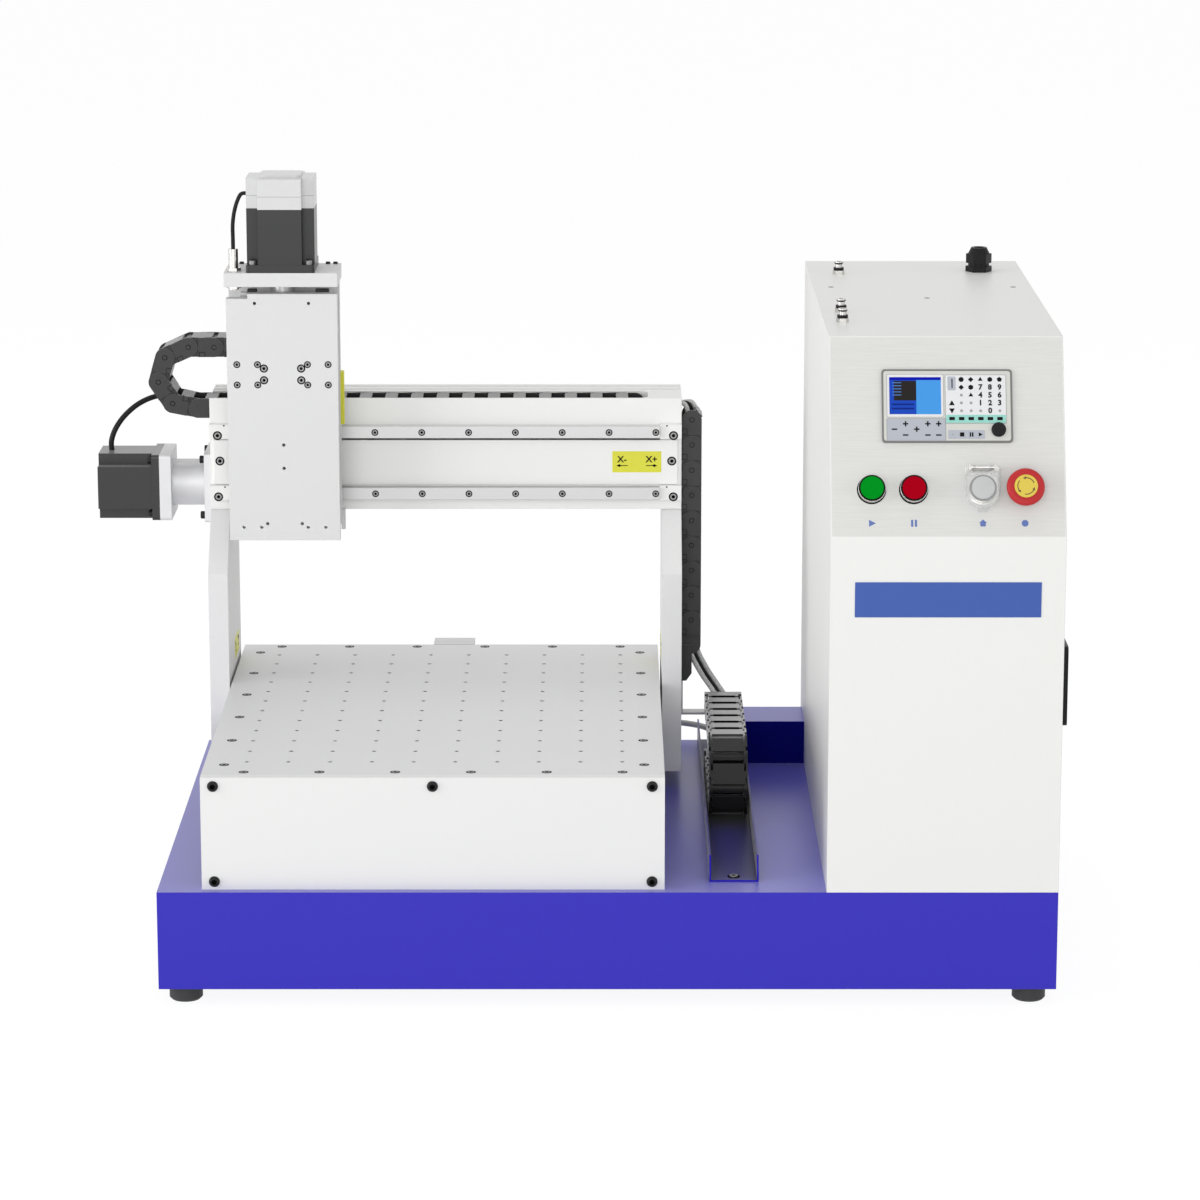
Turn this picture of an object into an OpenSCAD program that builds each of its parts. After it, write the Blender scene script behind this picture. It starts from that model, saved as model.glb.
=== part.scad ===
// Desktop dispensing robot: a moving gantry over a drilled work plate, with a control cabinet
// beside it on one steel base. Millimetres, +Z up, +X to the right, front towards -Y.
// The origin lies on the floor under the middle of the base. At rest the gantry stands at the
// rear, the carriage at the left end of the beam and the tool plate at the top of its stroke.

/* [Base] */
// Width of the base, left to right
base_w = 1070; // [1060:5:1200]
// Depth of the base, front to back
base_d = 720; // [716:2:800]
// Height of the base's walls
base_h = 120; // [80:5:180]
// Thickness of the base's sheet steel
base_sheet = 3; // [2:0.5:5]
// Diameter of a rubber foot
foot_d = 40; // [25:1:50]
// Height of a rubber foot
foot_h = 20; // [12:1:40]
// Distance of a foot's axis from the base's edges
foot_inset = 30; // [28:1:60]

/* [Table] */
// Width of the work plate
table_w = 550; // [520:2:560]
// Distance from the plate's rear edge to the base's rear edge
table_rear_gap = 26; // [24:1:60]
// Thickness of the work plate
plate_t = 15; // [12:0.5:18]
// Height of the table above the base
table_h = 138; // [134:1:150]
// Thickness of the front plate
front_t = 13; // [10:0.5:16]
// Thickness of the rear plate
rear_t = 12; // [10:0.5:20]
// Distance from the base's front edge to the table's front
table_setback = 12; // [4:1:20]
// Distance of the table's middle left of the base's middle
table_shift = 207; // [200:1:215]
// Spacing of the tapped holes
hole_pitch = 50; // [40:1:51]
// Diameter of a tapped hole
hole_d = 5; // [3:0.1:8]
// Columns of tapped holes
hole_cols = 10; // [2:2:10]
// Rows of tapped holes
hole_rows = 12; // [2:2:12]
// Width of a beam under the plate's long edge
side_beam_w = 30; // [20:1:40]
// Height of a beam under the plate's long edge
side_beam_h = 35; // [20:1:36]

/* [Guides] */
// Width of a guide rail
rail_w = 15; // [12:0.5:18]
// Height of a guide rail
rail_h = 15; // [12:0.5:16]
// Height of a rail with its runner block
block_h = 28; // [26:0.5:30]
// Width of a runner block
block_w = 34; // [28:0.5:36]
// Length of a runner block
block_l = 56; // [40:1:58]
// Gap between a runner block and the face under its rail
block_gap = 4.3; // [2:0.1:6]
// Clearance of a shaft in its bearing or nut
running_gap = 0.08; // [0.02:0.01:0.1]

/* [Gantry] */
// Thickness of a side column
col_t = 25; // [18:0.5:27]
// Depth of a column, front to back
col_d = 185; // [180:1:200]
// Gap between the table and a column
col_gap = 3; // [1:0.5:4]
// Gap between a column's foot and the base
col_foot_gap = 20.5; // [8:0.5:26]
// Distance from the plate's rear edge to the columns' rear edge
gantry_rear_gap = 29.5; // [20:0.5:35]
// Height of the beam's underside above the base
beam_rise = 353; // [345:1:380]
// Height of the beam
beam_h = 145; // [143:0.5:150]
// Depth of the beam
beam_d = 103.5; // [100:0.5:112]
// Distance from the columns' front edge back to the beam's face
beam_setback = 65; // [58:0.5:70]
// Height of the slanted part of a column's front edge
slant_h = 72; // [40:1:100]
// How far that slant leans back
slant_run = 60; // [30:1:64]
// Spacing of the beam's two rails
x_rail_pitch = 80; // [78:0.5:84]
// Height of the lower rail above the beam's underside
x_rail_rise = 23; // [22:0.5:24]
// Thickness of the bridge plate under the table
bridge_t = 20; // [12:0.5:24]
// Spacing of the two rails under the table
y_rail_pitch = 360; // [280:5:420]
// Diameter of the ball screws of the beam and the base
screw_d = 16; // [12:0.5:18]

/* [Carriage] */
// Width of the carriage and of the tool plate
carriage_w = 140; // [139:0.5:142]
// Height of the carriage plate
carriage_h = 314; // [312:1:330]
// Thickness of the carriage plate
carriage_t = 15; // [10:0.5:18]
// How far the carriage hangs below the beam
carriage_drop = 10; // [8:0.5:16]
// Gap between the carriage's left edge and the rail ends
carriage_margin = 3; // [1:0.5:4]
// Spacing of the two tool slide rails
z_rail_pitch = 94; // [90:0.5:100]
// Thickness of the tool plate
tool_plate_t = 15; // [10:0.5:18]
// Height of the tool plate
tool_plate_h = 316; // [300:1:318]
// How far the tool plate reaches below the carriage at rest
tool_plate_drop = 13; // [10:0.5:15]
// Diameter of the tool slide's ball screw
z_screw_d = 12; // [8:0.5:14]
// Thickness of the plate that carries the tool slide's motor
motor_plate_t = 17.5; // [12:0.5:20]

/* [Motors] */
// Side of a motor's square flange
motor_w = 86; // [80:1:87]
// Length of a motor without its end cap
motor_l = 79.5; // [60:0.5:100]
// Length of a motor's end cap
cap_l = 38; // [24:0.5:45]
// Side of the notch along each of a motor's corners
motor_notch = 15; // [10:0.5:17]
// Diameter of the bell housing between the motor and the beam
bell_d = 60; // [52:1:80]
// Length of that bell housing
bell_l = 43; // [30:0.5:60]

/* [Cable chains] */
// Distance between the pivots of a chain
chain_pitch = 33; // [32:0.1:33.1]
// Height of a chain link
chain_h = 25; // [22:0.5:25]
// Width of a chain
chain_w = 48; // [40:0.5:49]
// Thickness of a link's side wall
chain_wall = 2; // [1.5:0.1:3]
// Thickness of a link's cross bars
chain_bar = 2.5; // [1.5:0.1:3.5]
// Links that pass round a chain's loop over the whole travel
travel_links = 6; // [4:1:6]

/* [Cabinet] */
// Width of the cabinet
cab_w = 275; // [270:1:280]
// Distance from the cabinet's rear to the base's rear edge
cab_rear_gap = 20; // [10:1:60]
// Height of the cabinet above the base
cab_h = 652; // [640:1:720]
// Height of the cabinet's upright front
cab_front_h = 430; // [400:1:440]
// How far the control panel leans back
cab_lean = 96; // [60:1:120]
// Thickness of the cabinet's sheet steel
cab_sheet = 2; // [1.5:0.1:3]
// Width of the controller's face
ctl_w = 153; // [130:1:160]
// Height of the controller's face
ctl_h = 88; // [80:1:92]
// Diameter of a push button's bezel
bezel_d = 32; // [30:0.5:34]
// Diameter of the emergency stop's head
stop_d = 44.5; // [38:0.5:47]
// Travel of a push button
button_travel = 4; // [2:0.1:4.5]

/* [Hidden] */
$fn = 64;
eps = 0.01;

// Levels and faces that several pieces share
base_top = foot_h + base_h;
table_top = base_top + table_h;
table_x = -table_shift;
plate_d = base_d - table_setback - front_t - table_rear_gap;
table_x0 = table_x - table_w / 2;
table_x1 = table_x + table_w / 2;
table_y0 = table_setback - base_d / 2;
plate_y0 = table_y0 + front_t;
plate_y1 = plate_y0 + plate_d;
plate_mid = (plate_y0 + plate_y1) / 2;
plate_under = table_top - plate_t;

// Ball screw under the table
y_screw_z = base_top + 70;
y_nut_half = 18;
y_bell_l = 30;
journal_d = 10;
journal_l = 8;
coupling_d = 25;
shaft_d = 14;
shaft_l = 25;

// Columns and beam
col_y1 = plate_y1 - gantry_rear_gap;
col_y0 = col_y1 - col_d;
col_mid = (col_y0 + col_y1) / 2;
beam_x0 = table_x0 - col_gap - col_t;
beam_x1 = table_x1 + col_gap + col_t;
beam_y0 = col_y0 + beam_setback;
beam_y1 = beam_y0 + beam_d;
beam_z0 = base_top + beam_rise;
beam_z1 = beam_z0 + beam_h;
pad_w = 28;
pad_h = 19;
pad_t = 10;
x_rail_z = [beam_z0 + x_rail_rise, beam_z0 + x_rail_rise + x_rail_pitch];
rail_x0 = beam_x0 + pad_w;
rail_x1 = beam_x1 - pad_w;
trough_wall = 3;
trough_gap = 1;
trough_depth = chain_h + 2;
trough_y0 = beam_y0 + trough_wall;
trough_y1 = trough_y0 + chain_w + 2 * trough_gap;
trough_floor = beam_z1 - trough_depth;
cover_t = 3;
slot_h = 4;
window_z0 = x_rail_z[0] + 14;
window_z1 = x_rail_z[1] - rail_w / 2 - 0.5;
cover_end = 5;
cover_lap = 4;
x_screw_y = beam_y0 + 50;
x_screw_z = beam_z0 + 26;
x_nut_half = 15;
x_nut_l = 50;
flange_t = 9;
flange_w = motor_w + 4;
collar_t = 15;

// Bridge plate with its runner blocks
bridge_z0 = base_top + block_h;
bridge_inset = 15;
y_block_pitch = col_d - 2 * bridge_inset - block_l;
y_rail_end_gap = 5;

// Carriage, tool slide and their motor
carriage_x0 = rail_x0 + carriage_margin;
carriage_x = carriage_x0 + carriage_w / 2;
carriage_y1 = beam_y0 - block_h;
carriage_y0 = carriage_y1 - carriage_t;
carriage_z0 = beam_z0 - carriage_drop;
carriage_z1 = carriage_z0 + carriage_h;
x_block_pitch = carriage_w - block_l - 2;
tool_y1 = carriage_y0 - block_h;
tool_y0 = tool_y1 - tool_plate_t;
tool_z0 = carriage_z0 - tool_plate_drop;
tool_z1 = tool_z0 + tool_plate_h;
z_screw_y = carriage_y0 - block_h / 2;
z_block_z = tool_z1 - 103.5;
z_nut_w = 34;
z_nut_h = 40;
z_rail_top_gap = 14;
z_foot_h = 14;
z_coupling_l = 30;
motor_plate_w = carriage_w + 2.5;
motor_plate_y0 = z_screw_y - motor_w / 2;
motor_plate_d = carriage_y1 - motor_plate_y0 + 15.5;
motor_plate_x0 = carriage_x0 - 1;
motor_z0 = carriage_z1 + motor_plate_t;
sensor_x = motor_plate_x0 + 11;
sensor_y = motor_plate_y0 + 20;
sensor_d = 12;
sensor_top = motor_z0 + 28;

// Cable chains: u runs from the loop towards the chain's ends, along X or Y
loop_turn = [24, 50, 49, 46, 11];
loop_dir = [for (i = 0, a = 180; i < 5; a = a + loop_turn[i], i = i + 1) a];
function loop_at(i) =
    i == 0 ? [0, 0] : loop_at(i - 1) + chain_pitch * [cos(loop_dir[i]), sin(loop_dir[i])];
loop_drop = -loop_at(4)[1];
loop_shift = loop_at(4)[0];
chain_layer_gap = 0.3;
chain_low_gap = 0.5;
x_chain_y = trough_y0 + trough_gap + chain_w / 2;
x_chain_low = trough_floor + chain_low_gap + chain_h / 2;
x_chain_u = beam_x0 - 26;
x_chain_room = 40;
x_chain_links = floor((beam_x1 - x_chain_room - chain_h / 2 - 4 - x_chain_u - loop_shift) / chain_pitch);
x_upper_links = 5;
chain_end_l = 26;
y_chain_links = 6;
tray_x0 = beam_x1 + 26;
tray_w = chain_w + 11;
tray_sheet = 2;
tray_wall_h = 30;
tray_y0 = table_y0 + 33;
tray_y1 = base_d / 2 - 5;
tray_chamfer = 12;
y_chain_x = tray_x0 + tray_w / 2;
y_chain_low = base_top + tray_sheet + chain_low_gap + chain_h / 2;
y_chain_u = beam_y0 - 11.5 - travel_links * chain_pitch;
riser_gap = 1;
riser_links = 9;
riser_x = beam_x1 + riser_gap + chain_h / 2;
riser_top = beam_z1 - 29;
riser_low = riser_top - riser_links * chain_pitch;
riser_foot_h = 48;
riser_foot_gap = 0.4;
arm_t = 8;
shelf_t = 3;

// Cabinet
cab_x1 = base_w / 2;
cab_x0 = cab_x1 - cab_w;
cab_mid = (cab_x0 + cab_x1) / 2;
cab_d = base_d - cab_rear_gap;
cab_y0 = -base_d / 2;
cab_y1 = cab_y0 + cab_d;
cab_z1 = base_top + cab_h;
break_z = base_top + cab_front_h;
panel_h = cab_h - cab_front_h;
panel_lean = atan2(cab_lean, panel_h);
button_s = 57;
run_x = cab_mid - 89.5;
pause_x = cab_mid - 40.4;
home_x = cab_mid + 40;
stop_x = cab_mid + 89;
ctl_s = 157;
ctl_r = 4;
ctl_t = 3;
ctl_box_w = ctl_w - 12;
ctl_box_h = ctl_h - 10;
ctl_box_d = 40;
usb_at = [cab_mid + 59.8, 128.2];
usb_d = 17;
usb_bore = 10;
barrel_d = 22;
barrel_l = 25;
stem_d = 16;
stem_l = 30;
cap_clear = 0.3;
button_cap_t = 2.8;
bezel_h = 11;
bezel_wall = 5;
home_d = bezel_d;
stop_travel = 6;
vent_w = 97;
vent_t = 12;
vent_at = [cab_y0 + 110, base_top + 236];
fittings = [[cab_x0 + 37.6, cab_y1 - 112], [cab_x0 + 24, cab_y1 - 424], [cab_x0 + 21.7, cab_y1 - 500]];
fitting_bore = 6;
fitting_thread = 10;
gland_at = [cab_x1 - 55.5, cab_y1 - 86];
gland_bore = 13;
gland_thread = 25;
duct_w = 79;
duct_h = 57;
duct_y1 = cab_y1 - 24;
duct_sheet = 2;

// Cords: routes by hand, each from a place on the piece it is fixed to
x_cable_d = 7;
x_cable_from = [beam_x0, beam_y0, beam_z0];
x_cable_route = [[-132, 49.5, 68], [-132, 49.5, 81], [-126, 51.5, 97], [-114, 57.5, 113], [-96, 65.5, 127],
    [-74, 72.5, 135], [-50, 77.5, 135], [-30, 79.5, 127], [-14, 79.5, 120], [1, 79.5, 119]];
sensor_cable_d = 5;
sensor_cable_from = [sensor_x, sensor_y, sensor_top];
sensor_cable_route = [[0, 0, 0], [0, 0, 13.5], [0, 0, 29.5], [2, 0.5, 45.5], [6, 1.5, 59.5], [11, 2.5, 68.5],
    [18, 3.5, 69.5]];
loom_d = 10;
loom_from = [beam_x1, x_chain_y, beam_z1];
loom_route = [[-44, 0, -14], [-36, 0, -14], [-16, 0, -13], [-2, 0, -11], [8, 0, -11], [13, 0, -20],
    [14, 0, -38], [14, 0, -63], [14, 0, -88], [14, 0, -113], [14, 0, -138], [14, 0, -163], [14, 0, -188],
    [14, 0, -213],
    [14, 0, -238], [14, 0, -263], [14, 0, -288], [14, 0, -313], [15, 0, -330], [19, 0, -344], [26, 1, -358],
    [34, 2, -372], [43, 1, -385], [51, -5, -396], [56, -15, -402], [56, -26, -404]];
y_cable_d = 8;
y_cable_from = [table_x, plate_y1, base_top];
y_cable_route = [[42, 116, 70], [57, 116, 68], [79, 115, 58], [101, 112, 44], [125, 108, 31], [149, 102, 23],
    [173, 94, 19], [197, 86, 18], [221, 78, 18], [245, 70, 18], [269, 62, 18], [293, 54, 18], [315, 45, 18],
    [332, 33, 18], [343, 18, 18], [349, 2, 17], [351, -16, 16]];

// Shared shapes
module box(lo, hi) {
    translate(lo) cube(hi - lo);
}

module rod_x(x0, x1, y, z, d) {
    translate([x0, y, z]) rotate([0, 90, 0]) cylinder(d = d, h = x1 - x0);
}

module rod_y(y0, y1, x, z, d) {
    translate([x, y1, z]) rotate([90, 0, 0]) cylinder(d = d, h = y1 - y0);
}

module rod_z(z0, z1, x, y, d) {
    translate([x, y, z0]) cylinder(d = d, h = z1 - z0);
}

module rounded_square(w, h, r) {
    square([w - 2 * r, h], center = true);
    square([w, h - 2 * r], center = true);
    for (x = [-1, 1], y = [-1, 1])
        translate([x * (w / 2 - r), y * (h / 2 - r)]) circle(r);
}

// A frame on the leaning control panel: x across, y up the panel, z out of it
module on_panel(x, s) {
    translate([x, cab_y0, break_z]) rotate([90 - panel_lean, 0, 0]) translate([0, s, 0]) children();
}

// A guide rail along +X with its foot on z = 0
module rail(l) {
    waist = 0.72;
    half = rail_w / 2;
    rotate([90, 0, 90]) linear_extrude(l) polygon([
        [-half, 0], [half, 0], [half, rail_h * 0.45], [half * waist, rail_h * 0.6], [half, rail_h * 0.75],
        [half, rail_h], [-half, rail_h], [-half, rail_h * 0.75], [-half * waist, rail_h * 0.6],
        [-half, rail_h * 0.45]]);
}

// A runner block over a rail along +X, centred on the origin with the rail's foot on z = 0
module runner() {
    groove = rail_w + 1;
    end_cap = 5;
    difference() {
        union() {
            box([-block_l / 2, -block_w / 2 + 1, block_gap], [block_l / 2, block_w / 2 - 1, block_h - 1]);
            box([end_cap - block_l / 2, -block_w / 2, block_gap],
                [block_l / 2 - end_cap, block_w / 2, block_h]);
        }
        box([-block_l / 2 - 1, -groove / 2, -1], [block_l / 2 + 1, groove / 2, rail_h + 1]);
    }
}

// A motor with its face on z = 0 and its length along +Z
module motor_section(w, l) {
    linear_extrude(l) difference() {
        square(w, center = true);
        for (x = [-1, 1], y = [-1, 1])
            translate([x * w / 2, y * w / 2]) square(2 * motor_notch, center = true);
    }
}

module motor_can(l) {
    flange = 10;
    bolt_d = 6.5;
    bolt_at = motor_w / 2 - 8;
    difference() {
        union() {
            linear_extrude(flange) rounded_square(motor_w, motor_w, 4);
            translate([0, 0, flange]) motor_section(motor_w - 1, l - flange);
        }
        translate([0, 0, -1]) cylinder(d = shaft_d + 2 * running_gap, h = shaft_l + 2);
        for (x = [-1, 1], y = [-1, 1])
            translate([x * bolt_at, y * bolt_at, -1]) cylinder(d = bolt_d, h = flange + 2);
    }
}

module motor_cap(l) {
    crown_w = 52;
    crown_h = 3;
    motor_section(motor_w - 1, l);
    translate([0, 0, l]) linear_extrude(crown_h) rounded_square(crown_w, crown_w, 6);
}

// One chain link from its first pivot at the origin to its second at u = chain_pitch. A broad lid
// closes the side that lies outside in the loop, and a narrow bar the inner side, at +z. A curved lip
// about the second pivot covers the gap that opens to the next lid
module link() {
    half = chain_w / 2;
    disc = chain_h / 2;
    reach = chain_pitch - disc - 0.4;
    step = disc + 0.4;
    inner = half - chain_wall - chain_layer_gap;
    bar_half = inner - chain_wall - chain_layer_gap;
    lid_l = chain_pitch - 7;
    bar_l = 15.5;
    pin_d = 5;
    lip_r = disc - chain_bar - chain_layer_gap;
    lip_t = 1.2;
    for (side = [-1, 1])
        mirror([0, side > 0 ? 0 : 1, 0]) {
            translate([0, half, 0]) rotate([90, 0, 0]) linear_extrude(chain_wall) {
                circle(disc);
                translate([0, -disc]) square([reach, chain_h]);
            }
            translate([0, inner, 0]) rotate([90, 0, 0]) linear_extrude(chain_wall) {
                translate([chain_pitch, 0]) circle(disc);
                translate([step, -disc]) square([chain_pitch - step, chain_h]);
            }
            box([step, inner - chain_wall, -disc], [reach, half, disc]);
            rod_y(half - 1, half + 0.5, 0, 0, pin_d);
        }
    translate([chain_pitch, 0, 0]) rotate([90, 0, 0]) linear_extrude(2 * inner - chain_wall, center = true)
        intersection() {
            difference() {
                circle(lip_r);
                circle(lip_r - lip_t);
            }
            polygon([[0, 0], chain_h * [sin(-28), -cos(-28)], chain_h * [sin(12), -cos(12)],
                chain_h * [sin(45), -cos(45)]]);
        }
    for (bar = [[-disc, lid_l], [disc - chain_bar, bar_l]]) {
        box([step, -inner, bar[0]], [reach, inner, bar[0] + chain_bar]);
        box([(chain_pitch - bar[1]) / 2, -bar_half, bar[0]],
            [(chain_pitch + bar[1]) / 2, bar_half, bar[0] + chain_bar]);
    }
}

module link_at(p, dir) {
    translate([p[0], 0, p[1]]) rotate([0, -dir, 0]) link();
}

// A straight run of links, starting at pivot p
module chain_run(p, dir, count) {
    for (i = [0 : count - 1])
        link_at(p + i * chain_pitch * [cos(dir), sin(dir)], dir);
}

// The rolling loop, with its upper pivot at the origin
module chain_loop() {
    for (i = [1 : 4])
        link_at(loop_at(i - 1), loop_dir[i]);
}

// The solid bracket that ends a run, with the last pivot at p and reaching on along +u
module chain_end(p, l) {
    step = chain_h / 2 + 0.4;
    inner = chain_w / 2 - chain_wall - chain_layer_gap;
    disc = chain_h / 2;
    difference() {
        union() {
            box([p[0] + 1, -inner, p[1] - disc], [p[0] + l, inner, p[1] + disc]);
            box([p[0] + step, -chain_w / 2, p[1] - disc], [p[0] + l, chain_w / 2, p[1] + disc]);
        }
        box([p[0], -inner + chain_wall, p[1] - disc + chain_bar],
            [p[0] + l + 1, inner - chain_wall, p[1] + disc - chain_bar]);
    }
}

// The lid in front of that bracket, on its upper side
module end_lid(p) {
    half = chain_w / 2 - 2 * (chain_wall + chain_layer_gap);
    disc = chain_h / 2;
    box([p[0] + 3, -half, p[1] + disc - chain_bar], [p[0] + disc + 1.4, half, p[1] + disc]);
}

// A cord: a tube with one ring of points at each point of its route
function pick(route, i) = route[max(0, min(len(route) - 1, i))];
function unit(v) = v / norm(v);
function ring(path, i, across, r, sides) =
    let (t = unit(pick(path, i + 1) - pick(path, i - 1)), u = unit(cross(t, across)), v = cross(t, u))
    [for (k = [0 : sides - 1]) path[i] + r * (u * cos(360 * k / sides) + v * sin(360 * k / sides))];

module tube(path, d, across, sides) {
    n = len(path);
    points = [for (i = [0 : n - 1]) each ring(path, i, across, d / 2, sides)];
    polyhedron(points, [
        [for (k = [0 : sides - 1]) k],
        [for (k = [sides - 1 : -1 : 0]) (n - 1) * sides + k],
        for (i = [0 : n - 2], k = [0 : sides - 1])
            let (a = i * sides + k, b = i * sides + (k + 1) % sides) [a, a + sides, b + sides, b]]);
}

// Base
module base_frame() {
    color("mediumblue") {
        difference() {
            box([-base_w / 2, -base_d / 2, foot_h], [base_w / 2, base_d / 2, base_top]);
            box([base_sheet - base_w / 2, base_sheet - base_d / 2, foot_h - 1],
                [base_w / 2 - base_sheet, base_d / 2 - base_sheet, base_top - base_sheet]);
        }
        difference() {
            box([tray_x0 + tray_w, duct_y1 - duct_w, base_top], [cab_x0, duct_y1, base_top + duct_h]);
            box([tray_x0, duct_y1 - duct_w + duct_sheet, base_top], [cab_x1, duct_y1 - duct_sheet,
                base_top + duct_h - duct_sheet]);
        }
    }
}

module bottom_cover() {
    gap = 0.5;
    edge = base_sheet + gap;
    color("mediumblue")
        box([edge - base_w / 2, edge - base_d / 2, foot_h],
            [base_w / 2 - edge, base_d / 2 - edge, foot_h + 2]);
}

module feet() {
    lip = 3;
    at_x = base_w / 2 - foot_inset;
    at_y = base_d / 2 - foot_inset;
    color("black")
        for (p = [[-at_x, -at_y], [at_x, -at_y], [at_x, at_y], [-at_x, at_y], [0, 0]])
            translate([p[0], p[1], 0]) {
                cylinder(d1 = foot_d - 2 * lip, d2 = foot_d, h = lip);
                translate([0, 0, lip]) cylinder(d = foot_d, h = foot_h - lip);
            }
}

// Table
module table_plate() {
    color("silver")
        difference() {
            box([table_x0, plate_y0, plate_under], [table_x1, plate_y1, table_top]);
            for (i = [0 : hole_cols - 1], j = [0 : hole_rows - 1])
                rod_z(plate_under - 1, table_top + 1, table_x + (i - (hole_cols - 1) / 2) * hole_pitch,
                    plate_mid + (j - (hole_rows - 1) / 2) * hole_pitch, hole_d);
        }
}

module table_front_plate() {
    bore = journal_d + 2 * running_gap;
    color("white")
        difference() {
            box([table_x0, table_y0, base_top], [table_x1, plate_y0, table_top]);
            rod_y(plate_y0 - journal_l - 1, plate_y0 + 1, table_x, y_screw_z, bore);
        }
}

module table_rear_plate() {
    boss_w = motor_w + 4;
    bell_bore = coupling_d + 14;
    screw_bore = screw_d + 2 * running_gap;
    color("white")
        difference() {
            union() {
                box([table_x0, plate_y1 - rear_t, base_top], [table_x1, plate_y1, plate_under]);
                box([table_x - boss_w / 2, plate_y1, y_screw_z - boss_w / 2],
                    [table_x + boss_w / 2, plate_y1 + y_bell_l, y_screw_z + motor_w / 2]);
            }
            rod_y(plate_y1, plate_y1 + y_bell_l + 1, table_x, y_screw_z, bell_bore);
            rod_y(plate_y1 - rear_t - 1, plate_y1 + 1, table_x, y_screw_z, screw_bore);
        }
}

module table_side_beams() {
    color("silver")
        for (x = [table_x0, table_x1 - side_beam_w])
            box([x, plate_y0, plate_under - side_beam_h], [x + side_beam_w, plate_y1 - rear_t, plate_under]);
}

module y_rails() {
    y0 = plate_y0 + y_rail_end_gap;
    y1 = plate_y1 - rear_t - y_rail_end_gap;
    color("lightgray")
        for (side = [-1, 1])
            translate([table_x + side * y_rail_pitch / 2, y0, base_top]) rotate([0, 0, 90]) rail(y1 - y0);
}

module y_motor() {
    color("black")
        translate([table_x, plate_y1 + y_bell_l, y_screw_z]) rotate([-90, 0, 0]) {
            motor_can(motor_l);
            translate([0, 0, motor_l]) motor_cap(cap_l);
        }
}

module y_motor_cable() {
    color("gray") translate(y_cable_from) tube(y_cable_route, y_cable_d, [0, 0, 1], 10);
}

module y_screw() {
    face = plate_y1 + y_bell_l;
    color("gray") {
        rod_y(plate_y0 - journal_l, plate_y0 + 2, table_x, y_screw_z, journal_d);
        rod_y(plate_y0 + 1, plate_y1 + 2, table_x, y_screw_z, screw_d);
        rod_y(plate_y1 + 1, face - 3, table_x, y_screw_z, coupling_d);
        rod_y(face - 4, face + shaft_l, table_x, y_screw_z, shaft_d);
    }
}

// Cable chain along the base
module chain_tray() {
    color("mediumblue")
        difference() {
            box([tray_x0, tray_y0, base_top], [tray_x0 + tray_w, tray_y1, base_top + tray_wall_h]);
            box([tray_x0 + tray_sheet, tray_y0 - 1, base_top + tray_sheet],
                [tray_x0 + tray_w - tray_sheet, tray_y1 + 1, base_top + tray_wall_h + 1]);
            translate([tray_x0 - 1, tray_y0, base_top + tray_wall_h]) rotate([90, 0, 90])
                linear_extrude(tray_w + 2) polygon([[-1, 1], [tray_chamfer, 1], [tray_chamfer, 0],
                    [0, -2 * tray_chamfer], [-1, -2 * tray_chamfer]]);
        }
}

module along_y() {
    translate([y_chain_x, 0, 0]) rotate([0, 0, 90]) children();
}

module y_chain_lower_run() {
    start = [y_chain_u + loop_shift, y_chain_low];
    color("dimgray")
        along_y() {
            chain_run(start, 0, y_chain_links);
            chain_end(start + [y_chain_links * chain_pitch, 0], chain_end_l);
        }
}

module y_chain_loop() {
    color("dimgray") along_y() translate([y_chain_u, 0, y_chain_low + loop_drop]) chain_loop();
}

module y_chain_upper_run() {
    top = y_chain_low + loop_drop;
    end = y_chain_u + travel_links * chain_pitch;
    color("dimgray")
        along_y() {
            chain_run([end, top], 180, travel_links);
            difference() {
                chain_end([end, top], chain_end_l);
                box([end - chain_h, -chain_w, top - chain_h],
                    [end + chain_h / 2 + 0.4, chain_w, top + chain_h]);
            }
            end_lid([end, top]);
        }
}

module chain_bracket() {
    top = y_chain_low + loop_drop - chain_h / 2;
    y0 = y_chain_u + travel_links * chain_pitch + 15;
    y1 = y0 + chain_end_l - 7;
    color("dimgray") {
        box([beam_x1, y0, top - shelf_t], [y_chain_x + chain_w / 2, y1, top]);
        box([beam_x1, y0, top - shelf_t], [beam_x1 + shelf_t, y1, riser_low - riser_foot_h - riser_foot_gap]);
    }
}

// Gantry
module column(x) {
    foot = base_top + col_foot_gap;
    color("whitesmoke")
        translate([x, 0, 0]) rotate([90, 0, 90]) linear_extrude(col_t) polygon([
            [col_y0, foot], [col_y1, foot], [col_y1, beam_z0], [col_y0 + slant_run, beam_z0],
            [col_y0, beam_z0 - slant_h]]);
}

module left_column() {
    column(beam_x0);
}

module right_column() {
    column(beam_x1 - col_t);
}

module bridge_plate() {
    nut_w = 50;
    nut_l = 60;
    top = bridge_z0 + bridge_t;
    color("silver")
        difference() {
            union() {
                box([beam_x0 + col_t, col_y0 + bridge_inset, bridge_z0],
                    [beam_x1 - col_t, col_y1 - bridge_inset, top]);
                box([table_x - nut_w / 2, col_mid - nut_l / 2, top - 1],
                    [table_x + nut_w / 2, col_mid + nut_l / 2, y_screw_z + y_nut_half]);
            }
            rod_y(col_y0, col_y1, table_x, y_screw_z, screw_d + 2 * running_gap);
        }
}

module y_blocks() {
    color("gray")
        for (side = [-1, 1], end = [-1, 1])
            translate([table_x + side * y_rail_pitch / 2, col_mid + end * y_block_pitch / 2, base_top])
                rotate([0, 0, 90]) runner();
}

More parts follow.
